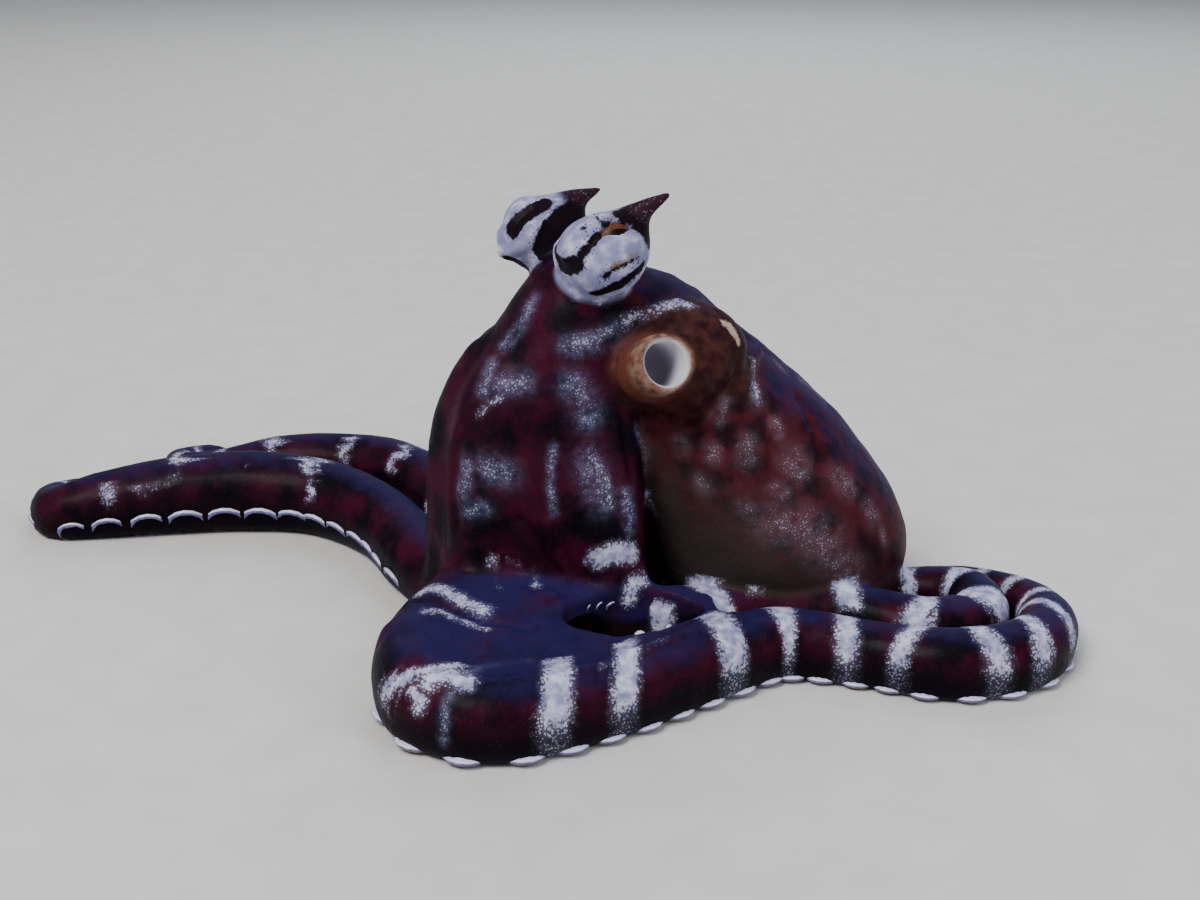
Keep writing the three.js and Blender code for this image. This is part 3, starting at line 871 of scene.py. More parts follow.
ARMS_AND_WEB: Region = {
    Kind.WHITE: (
        (1.5, (-0.5, -13.5, 14), (2, -13, 15), (4.5, -11.8, 14.5)),
        (0.9, (4, -14, 8.5), (4.5, -13, 10.5), (6.5, -11.5, 11)),
        (1.0, (-24, -17.5, 11.5), (-22.5, -16.5, 12), (-21, -18, 12), (-18, -20.5, 11.5),
         (-15, -22.5, 11)),
        (0.45, (-22.5, -24, 11.5), (-20.5, -23, 11.5), (-18.5, -25, 10.5), (-16.5, -25.5, 10.5),
         (-14.5, -26, 10)),
        (0.8, (-14.5, -14, 14), (-14, -15.5, 13.5), (-13.5, -17, 13)),
        (0.4, (-12.5, -14, 14), (-10, -15, 13.5), (-8.5, -15, 13), (-8.5, -16, 11.5)),
        (1.3, (-20.5, -39.5, 9.5), (-19.5, -38.5, 10.5), (-18, -39, 10), (-16, -40.5, 10)),
        (0.9, (-22.5, -40, 8.5), (-21.5, -41, 8), (-22, -41.5, 7)),
        (-0.1, (0, -35, 9), (2.5, -33.5, 9), (5, -31, 9), (8.5, -28.2, 9)),
    ),
    Kind.PALE: (
        (0.9, (-16, -38.5, 10), (-12.5, -35, 8.5), (-9, -33, 8)),
        (0.7, (-18, -41.5, 9), (-18.5, -43, 7), (-19, -44, 3)),
    ),
    Kind.RIDGE: (
        (0.7, (-15.5, -40, 9.7), (-12, -40, 9.6), (-7, -38, 9.3), (-3, -36, 9.2), (1, -33.8, 9),
         (5, -31, 9), (8.5, -28.2, 9), (12.5, -25.4, 9.4)),
        (0.6, (-2, -30.5, 8.6), (0, -32.6, 8.8), (4, -31.5, 9), (7, -29.5, 9.4), (10.5, -26.5, 9.4),
         (13, -22, 9)),
    ),
    Kind.FOLD: (
        (0.8, (-24, -20.5, 11.5), (-20, -22, 11.5), (-15, -24.5, 10.5), (-9, -25, 9)),
        (0.7, (47, -7, 7.5), (49, -9, 7.6), (51.5, -12, 7.4)),
    ),
}
MANTLE: Region = {
    Kind.PALE: (
        (1.3, (15, -11, 29), (15, -11, 28)), (1.5, (19.5, -10.5, 30), (19.5, -11, 27.5)),
        (2.2, (26, -9.5, 27), (27, -9.5, 25.5)), (1.9, (32.5, -7, 23.5), (34, -6.5, 22)),
        (1.5, (37, -5.5, 18.5), (38, -5.5, 17)), (0.9, (39, -5, 15), (39.5, -5, 13.5)),
        (1.0, (23.5, -8, 32), (24, -8.5, 30.5)), (1.0, (16.5, -9.5, 35.5), (16, -10, 33)),
        (1.4, (20.3, -6, 37), (21, -7.5, 34.8)), (1.2, (13.5, -10.5, 24.5), (14, -10.5, 23.5)),
        (1.4, (19.5, -11.5, 21), (20.5, -11.5, 20)), (1.4, (23.5, -11, 23.5), (24.5, -11, 23)),
        (3.4, (23.5, -11.5, 18.5), (27, -11, 18), (30.5, -10.5, 15)),
        (2.6, (31.5, -10, 13), (34.5, -8.5, 10.5)), (1.1, (11, -10, 30), (11, -10, 28.5)),
        (0.8, (28, 3.5, 34), (31, 5.5, 31.5), (33.5, 5.5, 29)),
        (0.8, (24.5, 2.5, 37.5), (25.5, 2, 36)), (2.0, (30, 16, 30), (33, 17, 26)),
        (2.2, (20, 21, 28), (22, 22, 24)), (2.6, (28, 21, 19), (31, 20.5, 15)),
        (2.2, (40, 14, 20), (41.5, 13, 15)), (2.0, (14, 18, 36), (15, 19.5, 32)),
        (2.4, (13, 19, 20), (14, 19.5, 15)),
    ),
    Kind.WHITE: (
        (0.5, (20.5, -6.5, 36.5), (21, -7.5, 35)), (0.2, (20, -4, 39.5), (20, -5.5, 38)),
    ),
    Kind.FOLD: (
        (0.8, (20.8, 2, 41), (20, -3, 40.6), (19, -6, 40.4), (17.4, -9, 38), (15, -10.5, 35.4),
         (12, -10.4, 33), (8.5, -9.4, 31), (6.5, -8, 29.5)),
        (0.8, (17.8, -9, 40), (17.5, -9.5, 36), (17, -10.5, 33), (17.5, -11, 29), (18.5, -11.5, 25)),
        (0.8, (22, -7, 34.5), (22.5, -9, 31), (23.5, -10.5, 27.5), (25, -11, 24)),
        (0.9, (27.5, -2.5, 33.5), (29.5, -5, 30), (30, -7.5, 26.5), (29, -9.5, 23)),
    ),
    Kind.RIDGE: (
        (0.9, (21.4, 0, 39.4), (20.4, -4, 38.8), (18.8, -8, 36.6), (16, -10.4, 34),
         (12.5, -10.6, 31.6), (9, -9.6, 29.6)),
    ),
}
MIRRORED_BELOW = 42.0  # only strokes that start below this height are on both sides of the crown


def strokes(region: Region) -> List[Stroke]:
    """The strokes of one region."""
    return [Stroke(kind, row[0], row[1:]) for kind, rows in region.items() for row in rows]


def far_crown() -> List[Stroke]:
    """The far side of the crown, which repeats the soft patches and folds of the near side."""
    return [
        Stroke(near.kind, near.half_width, tuple((x, -y, z) for x, y, z in near.points))
        for near in strokes(CROWN)
        if near.kind in (Kind.PALE, Kind.FOLD) and near.points[0][2] < MIRRORED_BELOW
    ]


STROKES = sum(map(strokes, (NEAR_EYE, FAR_EYE, CROWN, ARMS_AND_WEB, MANTLE)), far_crown())


def eye_frame(eye: EyePlan) -> Tuple[Array, Array, Array, Array]:
    """The middle of an eyeball, and its directions across, up and out, in mm.

    Args:
        eye: The eye.

    Returns:
        The middle, then three unit vectors. The last is the gaze.
    """
    gaze = unit(np.array(eye.gaze))
    to_surface = 1 / np.linalg.norm(gaze / np.array(eye.half_sizes))
    middle = np.array(eye.bulb) + gaze * (to_surface - EYEBALL_RADIUS + EYEBALL_STANDS_OUT)
    across = unit(np.cross((0, 0, 1), gaze))
    roll = math.radians(EYE_ROLL)
    turned = across * math.cos(roll) + np.cross(gaze, across) * math.sin(roll)
    return middle, turned, np.cross(gaze, turned), gaze


@dataclass(frozen=True)
class Lids:
    """The lids of one eye: flesh over the eyeball, with an almond-shaped opening."""

    eye: EyePlan

    def distance(self, axes: Axes) -> Array:
        """Distances to the flesh over the eyeball.

        Args:
            axes: The places.

        Returns:
            The distances.
        """
        middle, _, rise, _ = eye_frame(self.eye)
        over = tuple(middle + rise * LID_RISE)
        return Ball(over, (EYEBALL_RADIUS + LID_THICKNESS,) * 3).distance(axes)

    def opening(self, axes: Axes) -> Array:
        """Distances to the opening between the lids.

        Args:
            axes: The places.

        Returns:
            The distances.
        """
        middle, *ways = eye_frame(self.eye)
        away = away_from(axes, middle)
        u, v, w = (toward(away, way) for way in ways)
        half_width, half_height, off_u, off_v = LID_OPENING
        half = half_height * (1 - ((u - off_u) / half_width) ** 2)
        return np.maximum((np.abs(v - off_v) - half) * LID_SLOPE, LID_FRONT - w)


class Skeleton:
    """The forms that the skin is grown over."""

    def __init__(self) -> None:
        """Lays out every form from the tables."""
        self.crown = Column(CROWN_STACK)
        self.mantle = Column(MANTLE_STACK)
        self.web = Sheet(WEB_STATIONS, WEB_HALF_THICKNESS, WEB_SLOPE)
        self.bulbs = [Ball(eye.bulb, eye.half_sizes) for eye in EYES]
        self.horns = [Limb(eye.horn, HORN_RADII, [(0, 1, 0)] * 3, step=0.6) for eye in EYES]
        self.lids = [Lids(eye) for eye in EYES]
        self.funnel_base = Ball(*FUNNEL_BASE)
        route = np.array(FUNNEL_ROUTE)
        self.funnel = Limb(route[:, :3], route[:, 3], [(0, 0, 1)] * 3, step=0.8)
        self.arms = {plan.name: self.arm(plan) for plan in ARMS}

    def arm(self, plan: ArmPlan) -> Limb:
        """Lays out one arm.

        Args:
            plan: Its plan.

        Returns:
            The arm, from its ridge high on the crown to its tip on the floor.
        """
        angle = math.radians(plan.azimuth)
        outward = np.array([math.cos(angle), math.sin(angle), 0.0])
        places: List[Sequence[float]] = []
        for height, inset in zip(RIDGE_HEIGHTS, RIDGE_INSETS):
            x, y, across, depth = self.crown.section(np.array(float(height)))
            reach = (outward[0] * across * inset, outward[1] * depth * inset)
            places.append((float(x) + reach[0], float(y) + reach[1], height))
        for x, y, radius, *lift in plan.way:
            places.append((x, y, radius - FLOOR_BITE + sum(lift)))
        turned = unit(outward * (1 - FIRST_TURN) + np.array([0, 0, FIRST_TURN]))
        ridge, floor = len(RIDGE_RADII), len(plan.way)
        ups = [outward] * ridge + [turned] + [(0.0, 0.0, 1.0)] * (floor - 1)
        radii = [*RIDGE_RADII, *(place[2] for place in plan.way)]
        return Limb(places, radii, ups, [ROUND] * ridge + [BELLY] * floor)

    def funnel_distance(self, axes: Axes) -> Array:
        """Distances to the funnel with its base and its mouth cut square."""
        tube = np.maximum(self.funnel.distance(axes), self.past_mouth(axes))
        return fused(self.funnel_base.distance(axes), tube, FUNNEL_BLEND)

    def past_mouth(self, axes: Axes) -> Array:
        """How far places are beyond the plane of the funnel's mouth."""
        return toward(away_from(axes, self.funnel.middles[-1]), self.funnel.tangents[-1])

    def bore_distance(self, axes: Axes) -> Array:
        """Distances to the bore of the funnel, which has a round end.

        Args:
            axes: The places.

        Returns:
            The distances.
        """
        outward = self.funnel.tangents[-1]
        start = self.funnel.middles[-1] + np.array(FUNNEL_BORE_SHIFT) + outward * FUNNEL_BORE_LEAD
        away = away_from(axes, start)
        t = np.clip(-toward(away, outward), 0, FUNNEL_BORE_DEPTH)
        return np.sqrt(sum(part * part for part in run_along(away, -outward, t))) - FUNNEL_BORE


# ---------------------------------------------------------------- meshes and pieces


def mesh_points(mesh: bpy.types.Mesh) -> Array:
    """The places of a mesh's points, one row each."""
    points = np.empty(len(mesh.vertices) * 3)
    mesh.vertices.foreach_get("co", points)
    return points.reshape(-1, 3)


def linked(name: str, data: Any) -> bpy.types.Object:
    """A new object in the scene."""
    piece = bpy.data.objects.new(name, data)
    bpy.context.scene.collection.objects.link(piece)
    return piece


def settled(piece: bpy.types.Object) -> bpy.types.Mesh:
    """Turns a piece and its modifiers into a plain mesh.

    Args:
        piece: The piece, which is removed.

    Returns:
        The mesh.
    """
    graph = bpy.context.evaluated_depsgraph_get()
    mesh = bpy.data.meshes.new_from_object(piece.evaluated_get(graph))
    bpy.data.objects.remove(piece)
    return mesh


def finished(name: str, mesh: bpy.types.Mesh, material: bpy.types.Material) -> bpy.types.Object:
    """Moves a mesh from the sitting frame in mm to its place in metres, as a named piece.

    Args:
        name: The piece's name.
        mesh: Its mesh in mm.
        material: Its finish.

    Returns:
        The piece, smooth and with its finish.
    """
    placed = (mesh_points(mesh) + STAND_OFFSET) * MM
    mesh.vertices.foreach_set("co", placed.ravel())
    mesh.materials.clear()
    mesh.materials.append(material)
    mesh.shade_smooth()
    mesh.update()
    mesh.name = name
    LOG.info("%s: %d points, %d faces", name, len(mesh.vertices), len(mesh.polygons))
    return linked(name, mesh)


@dataclass
class Skin:
    """The whole soft skin as one closed mesh, with its markings and its painted shade as attributes.

    The fillets are the reaches over which one form runs into the next, and the relief values
    are heights in mm.
    """

    skeleton: Skeleton
    step: float = FINE_STEP
    face_limit: int = 190000
    plain_levels: int = 8  # how many steps there are between dense and plain skin
    plain_weight: float = 1.5
    dense_heights: Tuple[float, float] = (28, 40)
    near_density: float = 0.4  # how dense the near side is kept, as a share
    margin: float = 3.0
    crown_edge: float = 1.0
    crown_fillet: float = 2.8
    arm_crease: float = 0.6
    crease_start: Tuple[float, float] = (16, 30)  # from the crown's middle, where it narrows
    web_fillet: float = 2.6
    gap_edge: float = 1.0
    mantle_fillet: float = 1.2
    neck_fillet: float = 2.8  # what the mantle's fillet gains at the neck
    neck: Tuple[float, float] = (36, 48)  # heights in mm
    bulb_fillet: float = 1.8
    horn_fillet: float = 3.2
    lid_fillet: float = 1.0
    lid_edge: float = 0.35
    funnel_fillet: float = 1.8
    bore_edge: float = 0.8
    soft_relief: float = 0.10
    fine_relief: float = 0.05
    pebble_relief: float = 0.16
    lump_relief: float = 0.2
    fold_relief: float = 0.75  # as a share of a fold's half width
    fold_limit: float = 0.9

    def open_web(self, axes: Axes) -> Array:
        """Distances to the web with its opening cut out."""
        web = self.skeleton.web
        return hollowed(web.distance(axes), web.opening(axes), self.gap_edge)

    def root_fillet(self, axes: Axes) -> Array:
        """The reach of the fillet round an arm: wide at the crown and narrow away from it."""
        away = smooth_step(*self.crease_start, np.hypot(axes[0] - CROWN_MIDDLE, axes[1]))
        return self.crown_fillet + away * (self.arm_crease - self.crown_fillet)

    def mantle_reach(self, axes: Axes) -> Array:
        """The reach of the fillet round the mantle, which widens at the neck."""
        return self.mantle_fillet + self.neck_fillet * smooth_step(*self.neck, axes[2])

    def volume(self) -> Volume:
        """Grows the forms together, in the order in which they meet.

        Returns:
            The block of space that holds the distance to the skin.
        """
        bones = self.skeleton
        arms = bones.arms.values()
        low = np.min([(arm.middles - arm.radii[:, None]).min(0) for arm in arms], axis=0)
        high = np.max([(arm.middles + arm.radii[:, None]).max(0) for arm in arms], axis=0)
        low, high = low - self.margin, high + self.margin
        low[2], high[2] = SKIN_BOTTOM, SKIN_TOP
        volume = Volume(levels(low, high, self.step), self.step)
        volume.grow(bones.crown.distance, CROWN_BOX, self.crown_edge)
        for arm in arms:
            volume.grow_limb(arm, self.root_fillet)
        volume.grow(self.open_web, WEB_BOX, self.web_fillet)
        volume.grow(bones.mantle.distance, MANTLE_BOX, self.mantle_reach)
        for ball in bones.bulbs:
            middle, half = np.array(ball.middle), np.array(ball.half_sizes)
            volume.grow(ball.distance, (middle - half, middle + half), self.bulb_fillet)
        for horn in bones.horns:
            volume.grow_limb(horn, self.horn_fillet)
        for lids in bones.lids:
            middle = eye_frame(lids.eye)[0]
            box = (middle - LID_REACH, middle + LID_REACH)
            volume.grow(lids.distance, box, self.lid_fillet)
            volume.cut(lids.opening, (middle - 5, middle + 5), self.lid_edge)
        volume.grow(bones.funnel_distance, FUNNEL_BOX, self.funnel_fillet)
        volume.cut(bones.bore_distance, BORE_BOX, self.bore_edge)
        cuts, axes = volume.window(*FLOOR_BOX)
        volume.field[cuts] = np.maximum(volume.field[cuts], -axes[2])
        return volume

    def mesh(self, volume: Volume) -> bpy.types.Mesh:
        """The skin's mesh in mm, thinned where it is plain and kept dense on the head.

        Args:
            volume: The block that holds the distance to the skin.

        Returns:
            A closed mesh whose faces point out.
        """
        points, quads = volume.skin()
        rough = bpy.data.meshes.new("rough_skin")
        rough.from_pydata(points.tolist(), [], quads.tolist())
        LOG.info("rough skin: %d points, %d faces", len(points), len(quads))
        share = self.face_limit / (2 * len(quads))
        if share >= 1:
            return rough
        piece = linked("rough_skin", rough)
        dense = smooth_step(*self.dense_heights, points[:, 2])
        dense = np.maximum(dense, self.near_density * smooth_step(20, -10, points[:, 1]))
        group = piece.vertex_groups.new(name="thin")
        plain = np.round((1 - dense) * self.plain_levels).astype(int)
        for level in range(1, self.plain_levels + 1):
            found = np.flatnonzero(plain == level).tolist()
            group.add(found, level / self.plain_levels, "REPLACE")
        thinner = piece.modifiers.new("thinner", "DECIMATE")
        thinner.ratio = share
        thinner.vertex_group = group.name
        thinner.vertex_group_factor = self.plain_weight
        thinned = settled(piece)
        bpy.data.meshes.remove(rough)
        return thinned

    def relief(self, points: Array) -> Array:
        """How far each place of the skin stands out from the plain form.

        Args:
            points: Places on the skin in mm, one row each.

        Returns:
            Heights in mm, negative in a fold.
        """
        height = layered_noise(points, 5.0, 2, 11) * self.soft_relief
        height += layered_noise(points, 1.9, 2, 17) * self.fine_relief
        mantle = smooth_step(2.0, -0.5, self.skeleton.mantle.distance(tuple(points.T)))
        back = smooth_step(18, 34, points[:, 2]) * smooth_step(-4, 4, points[:, 1])
        bumps = layered_noise(points, 2.6, 2, 23) * self.pebble_relief
        bumps += layered_noise(points, 6.0, 1, 29) * self.lump_relief
        height += mantle * (0.5 + 0.8 * back) * bumps
        for stroke in STROKES:
            if stroke.kind in (Kind.FOLD, Kind.RIDGE):
                shape = np.exp(-((stroke.distance(points) / stroke.half_width) ** 2))
                tall = min(stroke.half_width, self.fold_limit) * self.fold_relief
                height += shape * (tall if stroke.kind is Kind.RIDGE else -tall)
        return height * smooth_step(0.1, 1.2, points[:, 2])

    def shape(self, mesh: bpy.types.Mesh, volume: Volume) -> Array:
        """Lays the mesh's points exactly on the skin, then raises its relief.

        Args:
            mesh: The skin's mesh in mm. Its points are moved.
            volume: The block that holds the distance to the skin.

        Returns:
            The points before the relief, in mm, one row each.
        """
        points = mesh_points(mesh)
        for _ in range(2):
            away, slope = volume.sample(points)
            steep = np.maximum((slope**2).sum(1), 0.3)
            points -= np.clip(away, -0.5, 0.5)[:, None] * slope / steep[:, None]
        _, slope = volume.sample(points)
        raised = points + unit(slope) * self.relief(points)[:, None]
        raised[:, 2] = np.maximum(raised[:, 2], 0)
        mesh.vertices.foreach_set("co", raised.ravel())
        mesh.update()
        return points

    def owners(self, points: Array) -> Array:
        """Which arm is nearest to each place, and where on it.

        Args:
            points: Places on the skin in mm, one row each.

        Returns:
            The arm's number and the number of its nearest sample, one row for each place.
        """
        owner = [
            (number, k, middle)
            for number, arm in enumerate(self.skeleton.arms.values())
            for k, middle in enumerate(arm.middles)
        ]
        tree = KDTree(len(owner))
        for index, (_, _, middle) in enumerate(owner):
            tree.insert(middle, index)
        tree.balance()
        return np.array([owner[tree.find(point)[1]][:2] for point in points])

    def arm_guides(self, points: Array) -> Dict[str, Array]:
        """How each place lies on the nearest arm.

        Args:
            points: Places on the skin in mm, one row each.

        Returns:
            By name: "mark", how far inside a white band it is in mm; "under", how far round
            to the underside it is, from 0 to 1; "beyond", how far from the arm it is in mm;
            "beat", how many regular bands come before it; and "regular", which is 1 where
            the arm has regular bands.
        """
        found = self.owners(points)
        marks = np.full(len(points), -DEEPEST)
        underside_shade, beyond, beat, regular = (np.zeros(len(points)) for _ in range(4))
        for number, (name, arm) in enumerate(self.skeleton.arms.items()):
            mine = np.flatnonzero(found[:, 0] == number)
            k = found[mine, 1]
            away = points[mine] - arm.middles[k]
            along = arm.along[k] + (away * arm.tangents[k]).sum(1)
            side = (away * arm.sides[k]).sum(1)
            turn = np.degrees(np.arctan2(side, (away * arm.ups[k]).sum(1)))
            reach = away - (along - arm.along[k])[:, None] * arm.tangents[k]
            beyond[mine] = np.linalg.norm(reach, axis=1) - arm.radii[k]
            free = np.minimum(along - ARM_START, (ARM_EDGE - beyond[mine]) * 2)
            underside_shade[mine] = smooth_step(*UNDERSIDE_SHADE, np.abs(turn)) * smooth_step(0, 1, free)
            if name not in BANDS:
                gone = along - BAND_FIRST - BAND_SLANT * side
                crowding = 1 + BAND_CROWDING * gone / (arm.along[-1] - BAND_FIRST)
                beat[mine] = gone / BAND_SPACING * crowding
                left = np.minimum(free, arm.along[-1] - BARE_TIP - along)
                regular[mine] = smooth_step(0, 1, left)
            for band in (Band(*row) for row in BANDS.get(name, ())):
                inside = band.half_width - np.abs(along - band.along - band.slant * side)
                if band.spread < 180:
                    edge = np.radians(band.spread - np.abs(turn - band.turn)) * arm.radii[k]
                    inside = np.minimum(inside, edge)
                marks[mine] = np.maximum(marks[mine], np.minimum(inside, free))
        names = (Kind.WHITE.value, "underside_shade", "beyond", "beat", "regular")
        return dict(zip(names, (marks, underside_shade, beyond, beat, regular)))

    def form_guides(self, axes: Axes, beyond: Array) -> Dict[str, Array]:
        """How each place lies on the forms of the body.

        Args:
            axes: The places, which are on the skin.
            beyond: How far they are from the nearest arm.

        Returns:
            Numbers from 0 to 1 by the name of the attribute.
        """
        bones = self.skeleton
        others = np.minimum(np.minimum(bones.crown.distance(axes), beyond), 3)
        bulbs = np.min([ball.distance(axes) for ball in bones.bulbs], axis=0)
        horns = np.min([horn.distance(axes) for horn in bones.horns], axis=0)
        inward = -bones.past_mouth(axes)
        tube = smooth_step(1.2, 0.2, bones.funnel.distance(axes))
        return {
            "mantle": smooth_step(1.2, -0.8, bones.mantle.distance(axes) - others),
            "web": smooth_step(1.8, 0.2, bones.web.distance(axes)),
            "funnel": smooth_step(1.6, -0.2, bones.funnel_distance(axes)),
            "tube": tube * smooth_step(8, 4.5, inward),
            "lip": tube * smooth_step(3.4, 0.6, inward),
            "bore": smooth_step(0.3, -0.3, bones.bore_distance(axes) - 0.25),
            # how deep in the bore and how far to the left, for the bore's painted shade
            "depth": smooth_step(1.5, 6.5, inward - 0.8 * (axes[0] - 9)),
            "bulb": smooth_step(1.5, 0.5, bulbs) * smooth_step(47.6, 50, axes[2]),
            "horn": smooth_step(0.5, 0.0, horns),
        }

    def colour_guides(self, points: Array) -> Dict[str, Array]:
        """What the skin's finish needs to know at each place.

        Args:
            points: Places on the skin in mm, one row each.

        Returns:
            Numbers for each place by the name of the attribute. Those of the marks, the ink
            and the cream say how far inside an edge it is, in mm.
        """
        guides = self.arm_guides(points)
        guides.update(self.form_guides(tuple(points.T), guides.pop("beyond")))
        for kind in (Kind.CREAM, Kind.DARK):
            guides[kind.value] = np.full(len(points), -DEEPEST)
        guides[Kind.PALE.value] = np.zeros(len(points))
        for stroke in STROKES:
            name = stroke.kind.value
            if name not in guides:
                continue
            if stroke.kind is Kind.PALE:
                found = np.exp(-((stroke.distance(points) / stroke.half_width) ** 2))
            else:
                found = stroke.half_width - stroke.distance(points)
            guides[name] = np.maximum(guides[name], found)
        return guides

    def build(self) -> bpy.types.Object:
        """Grows, thins, shapes and marks the skin.

        Returns:
            The finished skin, at its place in the frame.
        """
        volume = self.volume()
        mesh = self.mesh(volume)
        points = self.shape(mesh, volume)
        for name, values in self.colour_guides(points).items():
            layer = mesh.attributes.new(name, "FLOAT", "POINT")
            layer.data.foreach_set("value", values.astype(np.float32))
        return finished("skin", mesh, SkinFinish().material())


# ---------------------------------------------------------------- finishes


def paint(code: str) -> Row:
    """A colour from its six hexadecimal digits, as the shaders take it."""
    parts = [int(code[k : k + 2], 16) / 255 for k in (0, 2, 4)]
    linear = [p / 12.92 if p <= 0.04045 else ((p + 0.055) / 1.055) ** 2.4 for p in parts]
    return (*linear, 1.0)


class Tree:
    """A node tree that is made a node at a time."""

    def __init__(self, tree: bpy.types.NodeTree) -> None:
        """Takes an empty tree."""
        self.tree = tree

    def add(self, kind: str, sockets: Optional[Dict[Any, Any]] = None, **settings: Any) -> Any:
        """Adds a node.

        Args:
            kind: Its type.
            sockets: For its inputs, by name or number: a value, a link, a node whose first
                output is meant, or a list of nodes for an input that takes more than one.
            settings: Its other properties.

        Returns:
            The node.
        """
        node = self.tree.nodes.new(kind)
        for name, value in settings.items():
            setattr(node, name, value)
        for key, given in (sockets or {}).items():
            for value in given if isinstance(given, list) else [given]:
                if isinstance(value, bpy.types.Node):
                    value = value.outputs[0]
                if isinstance(value, Link):
                    self.tree.links.new(value, node.inputs[key])
                else:
                    node.inputs[key].default_value = value
        return node

    def maths(self, operation: str, *values: Any) -> Link:
        """The result of one operation on values or links."""
        sockets = dict(enumerate(values))
        return self.add("ShaderNodeMath", sockets, operation=operation).outputs[0]

    def plus(self, first: Any, second: Any) -> Link:
        """The sum of two numbers."""
        return self.maths("ADD", first, second)

    def less(self, first: Any, second: Any) -> Link:
        """The first number less the second."""
        return self.maths("SUBTRACT", first, second)

    def times(self, first: Any, second: Any) -> Link:
        """The product of two numbers."""
        return self.maths("MULTIPLY", first, second)

    def vector(self, operation: str, first: Any, second: Any, output: str = "Vector") -> Link:
        """The result of one operation on two vectors."""
        sockets = {0: first, 1: second}
        return self.add("ShaderNodeVectorMath", sockets, operation=operation).outputs[output]

    def toward(self, first: Any, way: Any) -> Link:
        """How far a vector reaches in one direction."""
        return self.vector("DOT_PRODUCT", first, way, "Value")


class Shading(Tree):
    """The node tree of one material, which reads places in mm."""

    def __init__(self, name: str) -> None:
        """Starts an empty tree for a new material of this name."""
        self.material = bpy.data.materials.new(name)
        self.material.use_nodes = True
        super().__init__(self.material.node_tree)
        self.tree.nodes.clear()
        metres = self.add("ShaderNodeTexCoord").outputs["Object"]
        self.places = self.vector("MULTIPLY", metres, (1 / MM,) * 3)

    def guide(self, name: str) -> Link:
        """The value of a named attribute."""
        return self.add("ShaderNodeAttribute", attribute_name=name).outputs["Fac"]

    def facing(self, way: Any) -> Link:
        """How far the surface faces in one direction."""
        return self.toward(self.add("ShaderNodeNewGeometry").outputs["Normal"], way)

    def rise(self, value: Any, low: Any, high: Any) -> Link:
        """A smooth rise from 0 at `low` to 1 at `high`, or a fall where `high` is the less."""
        sockets = {"Value": value, "From Min": low, "From Max": high}
        node = self.add("ShaderNodeMapRange", sockets, interpolation_type="SMOOTHSTEP")
        return node.outputs["Result"]

    def noise(self, cell: float, detail: float = 2.0, twist: float = 0.0) -> Link:
        """Noise from 0 to 1 whose features are about `cell` mm across."""
        sockets = {"Vector": self.places, "Scale": 1 / cell, "Detail": detail, "Distortion": twist}
        return self.add("ShaderNodeTexNoise", sockets).outputs["Fac"]

    def clouds(self, cell: float, detail: float, low: float, high: float) -> Link:
        """Soft patches of 0 and 1, about `cell` mm across, where noise goes from low to high."""
        return self.rise(self.noise(cell, detail), low, high)

    def dots(self, cell: float) -> Link:
        """Distances to scattered dots `cell` mm apart, in cells."""
        sockets = {"Vector": self.places, "Scale": 1 / cell}
        return self.add("ShaderNodeTexVoronoi", sockets).outputs["Distance"]

    def mixed(self, share: Any, first: Any, second: Any) -> Link:
        """The mix of two colours.

        Args:
            share: How much of the second colour there is.
            first: A link, or six hexadecimal digits.
            second: The same.

        Returns:
            The colour.
        """
        colours = [paint(each) if isinstance(each, str) else each for each in (first, second)]
        sockets = {0: share, 6: colours[0], 7: colours[1]}
        return self.add("ShaderNodeMix", sockets, data_type="RGBA").outputs[2]

    def bump(self, height: Any, distance: float, strength: float) -> Link:
        """A bump `distance` mm high."""
        sockets = {"Height": height, "Distance": distance * MM, "Strength": strength}
        return self.add("ShaderNodeBump", sockets).outputs["Normal"]

    def surface(self, sockets: Dict[str, Any]) -> bpy.types.Material:
        """Ends the tree in one shader with these inputs, and gives the material."""
        shader = self.add("ShaderNodeBsdfPrincipled", sockets)
        self.add("ShaderNodeOutputMaterial", {"Surface": shader})
        return self.material


